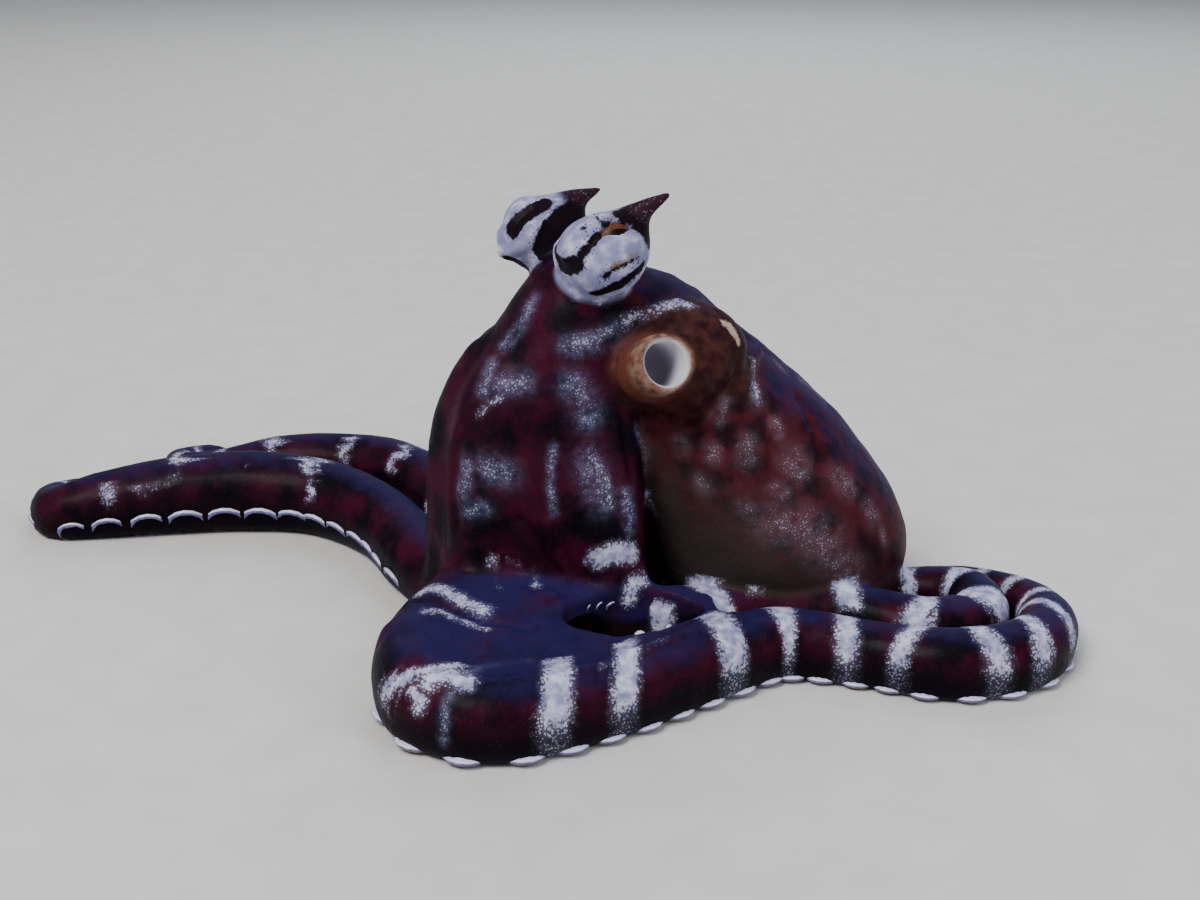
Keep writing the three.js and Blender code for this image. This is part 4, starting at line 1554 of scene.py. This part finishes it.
@dataclass(frozen=True)
class SkinFinish:
    """Living skin: dark ground, white bands that break up into dots, and a wet film.

    Each method below lays one layer over the colour it is given and gives the new colour.
    The shares say how much of a layer shows, from 0 to 1.
    """

    plum: str = "09030d"
    maroon: str = "34071d"
    red_brown: str = "521228"
    # the painted shade of the arms' undersides
    black: str = "040106"
    # the colours of a painted blue sheen on what faces up and on the webs
    top_sheen_violet: str = "211e46"
    web_sheen_violet: str = "221d4a"
    lilac_white: str = "c8c8e2"
    grey_lilac: str = "7f81a6"
    slate: str = "565a80"
    dusty: str = "7c686e"
    mantle_dark: str = "1c0710"
    mantle_red: str = "3e121a"
    olive: str = "38302e"
    dome_dark: str = "220f10"
    dome_brown: str = "3e231d"
    tube_brown: str = "5c3328"
    tube_cream: str = "bda792"
    bore_shade: str = "8d8997"
    # the painted shade deep in the bore
    bore_white: str = "d2d0da"
    ink: str = "130810"
    horn_brown: str = "2c1620"
    gold: str = "8f7440"
    sheen_blue: str = "2a38b8"
    flush_share: float = 0.4
    # how far the painted shade of the undersides shows
    underside_shade_share: float = 0.9
    olive_share: float = 0.88
    olive_rise: Tuple[float, float] = (55, 40)  # heights in mm
    # how much of the painted blue sheen shows, on what faces up and on the webs
    top_sheen_share: float = 0.85
    web_sheen_share: float = 0.8
    dome_share: float = 0.9
    lip_share: float = 0.3
    pearl_share: float = 0.95
    fleck_share: float = 0.75
    haze_share: float = 0.42
    grain_share: float = 0.36
    wash_share: float = 0.35
    dot_share: float = 0.62
    stray_share: float = 0.35
    stipple: float = 0.36  # the spacing of the dots, in mm
    freckle: float = 0.42
    spray: float = 0.4
    stray: float = 0.5
    roughness: float = 0.46
    coat: float = 0.02

    def ground(self, s: Shading) -> Link:
        """The colour of the skin beneath its marks, with painted shade on the arms' undersides.

        Args:
            s: The skin's shading.

        Returns:
            The colour.
        """
        dark = s.mixed(s.rise(s.noise(7, 3, 0.3), 0.36, 0.66), self.plum, self.maroon)
        flush = s.times(s.clouds(2.6, 4, 0.55, 0.85), self.flush_share)
        dark = s.mixed(flush, dark, self.red_brown)
        veins = s.rise(s.plus(s.dots(4.6), s.times(s.noise(1.6, 3), 0.9)), 0.62, 1.1)
        sack = s.mixed(veins, self.mantle_dark, self.mantle_red)
        # painted shade: the arms' undersides go near black
        dark = s.mixed(s.times(s.guide("underside_shade"), self.underside_shade_share), dark, self.black)
        height = s.plus(s.toward(s.places, (0.65, 0, 1)), s.times(s.noise(4, 3), 14))
        low = s.times(s.rise(height, *self.olive_rise), self.olive_share)
        return s.mixed(s.guide("mantle"), dark, s.mixed(low, sack, self.olive))

    def painted_sheen(self, s: Shading, colour: Link) -> Link:
        """A painted blue sheen of light on the skin that faces up and over the webs.

        Args:
            s: The skin's shading.
            colour: The colour so far.

        Returns:
            The new colour.
        """
        ragged = s.plus(s.facing((0.4, 0.25, 0.88)), s.times(s.less(s.noise(3, 3), 0.5), 0.5))
        # painted sheen: the skin that faces up turns blue
        top_sheen = s.times(s.rise(ragged, 0.42, 1.05), self.top_sheen_share)
        web = s.times(s.guide("web"), s.clouds(6, 4, 0.2, 0.7))
        colour = s.mixed(top_sheen, colour, self.top_sheen_violet)
        return s.mixed(s.times(web, self.web_sheen_share), colour, self.web_sheen_violet)

    def funnel(self, s: Shading, colour: Link) -> Link:
        """The brown dome, the freckled tube with its cream lip, and the pale bore with painted
        shade.

        Args:
            s: The skin's shading.
            colour: The colour so far.

        Returns:
            The new colour.
        """
        dome = s.mixed(s.clouds(1.8, 3, 0.32, 0.68), self.dome_dark, self.dome_brown)
        colour = s.mixed(s.times(s.guide("funnel"), self.dome_share), colour, dome)
        freckles = s.rise(s.plus(s.dots(self.freckle), s.times(s.noise(2.5, 2), 0.5)), 0.38, 0.66)
        tube = s.mixed(freckles, self.dome_brown, self.tube_brown)
        cream = s.times(s.guide("lip"), s.clouds(1.6, 3, 0.3, 0.7))
        tube = s.mixed(s.times(cream, self.lip_share), tube, self.tube_cream)
        colour = s.mixed(s.guide("tube"), colour, tube)
        # painted shade: the bore darkens deeper in and towards the left
        bore = s.mixed(s.guide("depth"), self.bore_white, self.bore_shade)
        return s.mixed(s.guide("bore"), colour, bore)

    def head(self, s: Shading, colour: Link) -> Link:
        """The pearly eye bulbs with their dark swirls, the brown horns and the cream flecks.

        Args:
            s: The skin's shading.
            colour: The colour so far.

        Returns:
            The new colour.
        """
        bulb, ink = s.guide("bulb"), s.guide("ink")
        pearl = s.mixed(s.clouds(2.0, 3, 0.4, 0.8), self.grey_lilac, self.lilac_white)
        colour = s.mixed(s.times(bulb, self.pearl_share), colour, pearl)
        wander = s.times(s.less(s.noise(0.7, 3), 0.5), 0.9)
        solid = s.rise(s.plus(ink, wander), -0.12, 0.18)
        near = s.rise(s.plus(ink, 1.6), 0.0, 1.6)
        spots = s.rise(s.dots(self.spray), s.times(near, 0.36), s.times(near, 0.2))
        inked = s.maths("MAXIMUM", solid, s.times(spots, s.rise(near, 0.3, 0.6)))
        colour = s.mixed(inked, colour, self.ink)
        frost = s.times(s.rise(s.dots(self.spray), 0.34, 0.2), 0.35)
        horn = s.mixed(frost, self.horn_brown, self.grey_lilac)
        colour = s.mixed(s.guide("horn"), colour, horn)
        flecks = s.rise(s.plus(s.guide("cream"), s.times(s.noise(0.45, 3), 1.1)), 0.55, 1.15)
        leaf = s.mixed(bulb, self.tube_cream, self.gold)
        return s.mixed(s.times(flecks, self.fleck_share), colour, leaf)

    def haze(self, s: Shading, colour: Link) -> Link:
        """The soft pale patches, with a grain of light dots.

        Args:
            s: The skin's shading.
            colour: The colour so far.

        Returns:
            The new colour.
        """
        mantle = s.guide("mantle")
        haze = s.times(s.guide("pale"), s.clouds(1.7, 3, 0.12, 0.62))
        haze = s.times(haze, s.less(1.0, s.times(mantle, 0.25)))
        patch = s.mixed(s.clouds(0.9, 2, 0.35, 0.65), self.slate, self.grey_lilac)
        patch = s.mixed(s.times(mantle, 0.8), patch, self.dusty)
        colour = s.mixed(s.times(haze, self.haze_share), colour, patch)
        grains = s.rise(s.less(s.times(haze, 0.42), s.dots(self.stipple)), -0.06, 0.1)
        return s.mixed(s.times(grains, self.grain_share), colour, self.lilac_white)

    def marked(self, s: Shading, colour: Link) -> Link:
        """The white bands, which break up into dots at their edges, and stray dots.

        Args:
            s: The skin's shading.
            colour: The colour so far.

        Returns:
            The new colour.
        """
        off_band = s.maths("PINGPONG", s.guide("beat"), 0.5)
        inside = s.times(s.less(BAND_HALF_SHARE, off_band), BAND_SPACING)
        irregular = s.times(s.less(1.0, s.guide("regular")), 2 * DEEPEST)
        inside = s.maths("MAXIMUM", s.guide("mark"), s.less(inside, irregular))
        ragged = s.plus(inside, s.times(s.noise(0.8, 4), 1.4))
        # the bands fade into the painted shade of the underside
        kept = s.less(1.0, s.times(s.guide("underside_shade"), 0.8))
        density = s.times(s.rise(ragged, -0.25, 2.2), kept)
        size = s.times(s.maths("POWER", density, 0.7), 0.95)
        dotted = s.rise(s.less(size, s.dots(self.stipple)), -0.14, 0.18)
        white = s.mixed(s.clouds(1.5, 3, 0.3, 0.7), self.grey_lilac, self.lilac_white)
        share = s.plus(s.times(dotted, self.dot_share), s.times(density, self.wash_share))
        colour = s.mixed(share, colour, white)
        sparse = s.times(s.clouds(4, 3, 0.55, 0.85), 0.26)
        strays = s.rise(s.less(sparse, s.dots(self.stray)), -0.02, 0.06)
        return s.mixed(s.times(strays, self.stray_share), colour, self.grey_lilac)

    def material(self) -> bpy.types.Material:
        """Makes the finish from its layers.

        Returns:
            The material.
        """
        s = Shading("skin")
        colour = self.ground(s)
        for layer in (self.painted_sheen, self.funnel, self.head, self.haze, self.marked):
            colour = layer(s, colour)
        grain = s.plus(s.noise(0.35, 3), s.times(s.dots(0.9), 0.8))
        rough = {"To Min": self.roughness - 0.1, "To Max": self.roughness + 0.16}
        rough["Value"] = s.noise(1.2, 3)
        return s.surface(
            {
                "Base Color": colour,
                "Roughness": s.add("ShaderNodeMapRange", rough),
                "Normal": s.bump(grain, 0.1, 0.4),
                "Specular IOR Level": 0.05,
                "Coat Weight": self.coat,
                "Coat Roughness": 0.2,
                "Sheen Weight": 0.06,
                "Sheen Roughness": 0.3,
                "Sheen Tint": paint(self.sheen_blue),
            }
        )


@dataclass(frozen=True)
class SuckerFinish:
    """A sucker: a rim that is white on top, purple-blue painted shade below, and a pinkish face."""

    rim: str = "cfcfe9"
    shade: str = "b9b4d0"
    # the purple-blue painted shade below the rim
    cup: str = "4a4a8c"
    face: str = "8a6470"

    def material(self) -> bpy.types.Material:
        """Makes the finish.

        Returns:
            The material.
        """
        s = Shading("sucker")
        upward = s.facing((0, 0, 1))
        ragged = s.plus(upward, s.times(s.noise(0.5, 2), 0.3))
        # white where the surface faces up, painted shade where it faces sideways, pink where it
        # faces down
        low = s.mixed(s.rise(upward, -0.9, -0.4), self.face, self.cup)
        colour = s.mixed(s.rise(ragged, 0.3, 0.6), low, self.rim)
        dusk = s.mixed(s.clouds(0.4, 2, 0.35, 0.7), colour, self.shade)
        return s.surface(
            {
                "Base Color": s.mixed(0.25, colour, dusk),
                "Roughness": 0.36,
                "Normal": s.bump(s.noise(0.25, 2), 0.05, 0.5),
                "Coat Weight": 0.25,
                "Coat Roughness": 0.2,
            }
        )


@dataclass(frozen=True)
class EyeFinish:
    """An orange-brown iris with a black slit, beneath a clear wet cornea."""

    eye: EyePlan
    iris: str = "6e3d26"
    rim: str = "4c2016"
    slit: str = "050406"
    slit_middle: Tuple[float, float] = (-0.3, -0.42)
    slit_half_sizes: Tuple[float, float] = (2.3, 0.56)

    def material(self) -> bpy.types.Material:
        """Makes the finish for one eye, in the directions of its eyeball.

        Returns:
            The material.
        """
        s = Shading(f"eye_{self.eye.side}")
        middle, *ways = eye_frame(self.eye)
        away = s.vector("SUBTRACT", s.places, tuple(middle + STAND_OFFSET))
        squares = []
        for way, place, half in zip(ways, self.slit_middle, self.slit_half_sizes):
            part = s.maths("DIVIDE", s.less(s.toward(away, tuple(way)), place), half)
            squares.append(s.times(part, part))
        slit = s.maths("SQRT", s.plus(*squares))
        streaks = s.noise(0.35, 3, 0.6)
        iris = s.mixed(s.rise(streaks, 0.3, 0.7), self.rim, self.iris)
        return s.surface(
            {
                "Base Color": s.mixed(s.rise(slit, 0.85, 1.1), self.slit, iris),
                "Roughness": 0.45,
                "Specular IOR Level": 0.15,
                "Coat Weight": 0.04,
                "Coat Roughness": 0.2,
                "Normal": s.bump(streaks, 0.03, 0.3),
            }
        )


# ---------------------------------------------------------------- eyes and suckers


@dataclass(frozen=True)
class Eyeball:
    """One eyeball, so deep in its bulb that only a lens of it shows."""

    eye: EyePlan
    rings: int = 28
    segments: int = 40

    def build(self) -> bpy.types.Object:
        """Makes the eyeball, with its poles along the gaze.

        Returns:
            The finished eyeball, at its place in the frame.
        """
        middle, across, rise, gaze = eye_frame(self.eye)
        points = [gaze * EYEBALL_RADIUS]
        for angle in np.pi * np.arange(1, self.rings) / self.rings:
            for turn in 2 * np.pi * np.arange(self.segments) / self.segments:
                flat = (across * math.cos(turn) + rise * math.sin(turn)) * math.sin(angle)
                points.append((flat + gaze * math.cos(angle)) * EYEBALL_RADIUS)
        points.append(-gaze * EYEBALL_RADIUS)
        count, last = self.segments, len(points) - 1
        faces: List[Tuple[int, ...]] = []
        for k in range(count):
            after = (k + 1) % count
            faces.append((0, 1 + k, 1 + after))
            for start in range(1, 1 + (self.rings - 2) * count, count):
                below = start + count
                faces.append((start + k, below + k, below + after, start + after))
            faces.append((last, last - count + after, last - count + k))
        mesh = bpy.data.meshes.new("eyeball")
        mesh.from_pydata([tuple(point + middle) for point in points], [], faces)
        return finished(f"eyeball_{self.eye.side}", mesh, EyeFinish(self.eye).material())


@dataclass(frozen=True)
class Sucker:
    """Where one sucker is, in mm, which way it faces, and the size that its cup is scaled by."""

    place: Array
    facing: Array
    size: float


@dataclass
class Suckers:
    """The two rows of suckers along the underside of each arm, and those round the web's gap.

    The width, the depth, the rim and how proud a sucker is are shares of the arm's half
    thickness, and leans are in degrees from straight down.
    """

    skeleton: Skeleton
    first: float = 42.0
    stagger: float = 2.4  # how far one row lies behind the other
    last_gap: float = 1.5
    width: float = 0.96
    depth: float = 0.1
    rim: float = 0.085
    spacing: float = 1.04
    row_gap: float = 0.15
    lean: float = 9.0
    proud: float = 0.99  # how far the outer edges reach
    raised_lean: float = 58.0  # the same two where an arm is turned to show them
    raised_proud: float = 1.06
    gap_size: float = 1.5
    gap_inset: float = 0.2
    gap_droop: float = 0.3
    stand: float = 0.08  # how high the middle of a cup is, as a share of the half thickness
    tilted_stand: float = 0.7  # and what its tilt adds, as a share of its own rise
    lowest: float = 0.03

    def row(self, name: str, arm: Limb, hand: float) -> List[Sucker]:
        """One row of suckers.

        Args:
            name: The arm's name.
            arm: The arm.
            hand: 1 for the row on the arm's own side, -1 for the other.

        Returns:
            The row's suckers, from the crown to the tip.
        """
        raised = name in RAISED_ARMS
        tilt = math.radians(self.raised_lean if raised else self.lean)
        proud = self.raised_proud if raised else self.proud
        half = self.width * 0.5
        row: List[Sucker] = []
        along = self.first + (0 if hand > 0 else self.stagger)
        while along < arm.along[-1] - self.last_gap:
            radius = float(np.interp(along, arm.along, arm.radii))
            place = arm.at(along, arm.middles)
            out = unit(arm.at(along, arm.sides) * (1, 1, 0)) * hand
            low = max(0.0, place[2] - radius)
            place = place + out * radius * (proud - half * math.cos(tilt))
            place[2] = low + radius * (self.stand + self.tilted_stand * half * math.sin(tilt))
            facing = out * math.sin(tilt) + np.array([0, 0, -math.cos(tilt)])
            row.append(Sucker(place, facing, radius))
            along += self.spacing * radius + self.row_gap
        return row

    def gap(self) -> List[Sucker]:
        """The small suckers round the opening in the web.

        Returns:
            The suckers, which face into the opening and a little down.
        """
        found: List[Sucker] = []
        for place in np.array(GAP_SUCKERS):
            inward = unit(np.array(WEB_GAP[0]) - place)
            facing = unit(inward + np.array([0, 0, -self.gap_droop]))
            found.append(Sucker(place - inward * self.gap_inset, facing, self.gap_size))
        return found

    def guide(self) -> bpy.types.Object:
        """A point for each sucker, which says which way it faces and how big it is.

        Returns:
            The points as one object.
        """
        found: List[Sucker] = []
        for name, arm in self.skeleton.arms.items():
            for hand in (-1.0, 1.0):
                found += self.row(name, arm, hand)
        found += self.gap()
        mesh = bpy.data.meshes.new("sucker_places")
        mesh.from_pydata([tuple(sucker.place) for sucker in found], [], [])
        facing = np.array([sucker.facing for sucker in found], np.float32)
        layer = mesh.attributes.new("facing", "FLOAT_VECTOR", "POINT")
        layer.data.foreach_set("vector", facing.ravel())
        sizes = np.array([sucker.size for sucker in found], np.float32)
        mesh.attributes.new("size", "FLOAT", "POINT").data.foreach_set("value", sizes)
        return linked("sucker_places", mesh)

    def tree(self, material: bpy.types.Material) -> bpy.types.NodeTree:
        """The node tree that sets a cup with a rolled rim on every point.

        Args:
            material: The finish of the cups.

        Returns:
            The tree. Its inputs are the cup's width, depth and rim, as shares of the size.
        """
        group = bpy.data.node_groups.new("sucker_rows", "GeometryNodeTree")
        ports = group.interface
        ports.new_socket("Geometry", in_out="INPUT", socket_type="NodeSocketGeometry")
        for name in ("Cup Width", "Cup Depth", "Rim Thickness"):
            ports.new_socket(name, in_out="INPUT", socket_type="NodeSocketFloat")
        ports.new_socket("Geometry", in_out="OUTPUT", socket_type="NodeSocketGeometry")
        g = Tree(group)
        source = g.add("NodeGroupInput").outputs
        half, depth = g.times(source["Cup Width"], 0.5), source["Cup Depth"]
        circle = "GeometryNodeCurvePrimitiveCircle"
        path = g.add(circle, {"Resolution": 14, "Radius": half})
        edge = g.add(circle, {"Resolution": 4, "Radius": source["Rim Thickness"]})
        rim = g.add("GeometryNodeCurveToMesh", {"Curve": path, "Profile Curve": edge})
        sizes = {"Radius Top": half, "Radius Bottom": g.times(half, 0.9), "Depth": depth}
        cup = g.add("GeometryNodeMeshCone", {"Vertices": 14, **sizes})
        down = g.add("ShaderNodeCombineXYZ", {"Z": g.times(depth, -1.0)})
        cup = g.add("GeometryNodeTransform", {"Geometry": cup, "Translation": down})
        form = g.add("GeometryNodeJoinGeometry", {0: [rim, cup]})
        attribute = "GeometryNodeInputNamedAttribute"
        facing = g.add(attribute, {"Name": "facing"}, data_type="FLOAT_VECTOR")
        size = g.add(attribute, {"Name": "size"}, data_type="FLOAT")
        way = {"Vector": facing.outputs["Attribute"]}
        turned = g.add("FunctionNodeAlignRotationToVector", way, axis="Z")
        rows = {"Points": source["Geometry"], "Instance": form, "Rotation": turned}
        rows["Scale"] = size.outputs["Attribute"]
        cups = g.add("GeometryNodeInstanceOnPoints", rows)
        real = g.add("GeometryNodeRealizeInstances", {"Geometry": cups})
        dressed = g.add("GeometryNodeSetMaterial", {"Geometry": real, "Material": material})
        g.add("NodeGroupOutput", {0: dressed})
        return group

    def build(self) -> bpy.types.Object:
        """Sets out the suckers and turns them into one plain mesh.

        Returns:
            The suckers of all eight arms as one piece.
        """
        material = SuckerFinish().material()
        guide = self.guide()
        rows = guide.modifiers.new("rows", "NODES")
        rows.node_group = self.tree(material)
        sizes = {"Cup Width": self.width, "Cup Depth": self.depth, "Rim Thickness": self.rim}
        for item in rows.node_group.interface.items_tree:
            if item.in_out == "INPUT" and item.name in sizes:
                rows[item.identifier] = sizes[item.name]
        mesh = settled(guide)
        points = mesh_points(mesh)
        points[:, 2] = np.maximum(points[:, 2], self.lowest)
        mesh.vertices.foreach_set("co", points.ravel())
        return finished("suckers", mesh, material)


# ---------------------------------------------------------------- the studio


@dataclass(frozen=True)
class Lamp:
    """A soft square light: its name, place and size in metres, power and colour."""

    name: str
    place: Point
    size: float
    power: float
    colour: Point


@dataclass(frozen=True)
class Studio:
    """A pale floor, soft lights and the camera.

    Lengths are in metres, but those inside the camera are in mm.
    """

    camera_place: Point = (0.01362, -0.2365, 0.104)
    camera_pitch: float = 20.0
    lens: float = 49.5
    sensor_width: float = 36.0
    nearest: float = 0.01
    floor_edge: float = 4.0
    floor_colour: str = "c9c8c6"
    floor_patches: str = "cfcecc"
    sky_colour: str = "dfe3ea"
    sky_strength: float = 0.4
    aim: Point = (0, 0, 0.02)
    lamps: Tuple[Lamp, ...] = (
        Lamp("key", (-0.35, -0.45, 0.75), 0.4, 9.0, (1.0, 0.97, 0.94)),
        Lamp("fill", (0.6, -0.35, 0.4), 0.6, 3.0, (0.92, 0.95, 1.0)),
        Lamp("back", (0.1, 0.7, 0.6), 0.6, 4.0, (0.9, 0.94, 1.0)),
    )

    def floor(self) -> None:
        """The plain pale floor."""
        mesh = bpy.data.meshes.new("floor")
        edge = self.floor_edge
        corners = [(-edge, -edge, 0), (edge, -edge, 0), (edge, edge, 0), (-edge, edge, 0)]
        mesh.from_pydata(corners, [], [(0, 1, 2, 3)])
        s = Shading("studio_floor")
        tone = s.mixed(s.clouds(9, 3, 0.3, 0.7), self.floor_colour, self.floor_patches)
        mesh.materials.append(s.surface({"Base Color": tone, "Roughness": 0.85}))
        piece = linked("floor", mesh)

    def light(self, plan: Lamp) -> None:
        """Sets up a light that points at the animal. Only the key light glints on it.

        Args:
            plan: The light.
        """
        lamp = bpy.data.lights.new(plan.name, "AREA")
        lamp.shape, lamp.size, lamp.energy = "SQUARE", plan.size, plan.power
        lamp.color = plan.colour
        piece = linked(plan.name, lamp)
        piece.location = plan.place
        way = Vector(self.aim) - Vector(plan.place)
        piece.rotation_euler = way.to_track_quat("-Z", "Y").to_euler()
        piece.visible_glossy = plan.name == "key"

    def build(self) -> None:
        """Sets up the floor, the lights, the sky and the camera."""
        self.floor()
        for plan in self.lamps:
            self.light(plan)
        world = bpy.data.worlds.new("sky")
        world.use_nodes = True
        sky = world.node_tree.nodes["Background"]
        sky.inputs["Color"].default_value = paint(self.sky_colour)
        sky.inputs["Strength"].default_value = self.sky_strength
        bpy.context.scene.world = world
        camera = bpy.data.cameras.new("camera")
        camera.lens, camera.sensor_width = self.lens, self.sensor_width
        camera.clip_start = self.nearest
        piece = linked("camera", camera)
        piece.location = self.camera_place
        piece.rotation_euler = Euler((math.radians(90 - self.camera_pitch), 0, 0))
        bpy.context.scene.camera = piece


def main() -> None:
    """Builds the octopus over its frame and reports each piece."""
    logging.basicConfig(level=logging.INFO, format="%(message)s")
    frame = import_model()
    Studio().build()
    skeleton = Skeleton()
    skin = Skin(skeleton, FINE_STEP).build()
    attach(skin, "root")
    flesh = [name for name in frame["nodes"] if not name.startswith("eye_")]
    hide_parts(*flesh)
    for eye in EYES:
        ball = Eyeball(eye).build()
        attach(ball, "root")
        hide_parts(f"eye_{eye.side}")
    suckers = Suckers(skeleton).build()
    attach(suckers, "root")


if __name__ == "__main__":
    main()
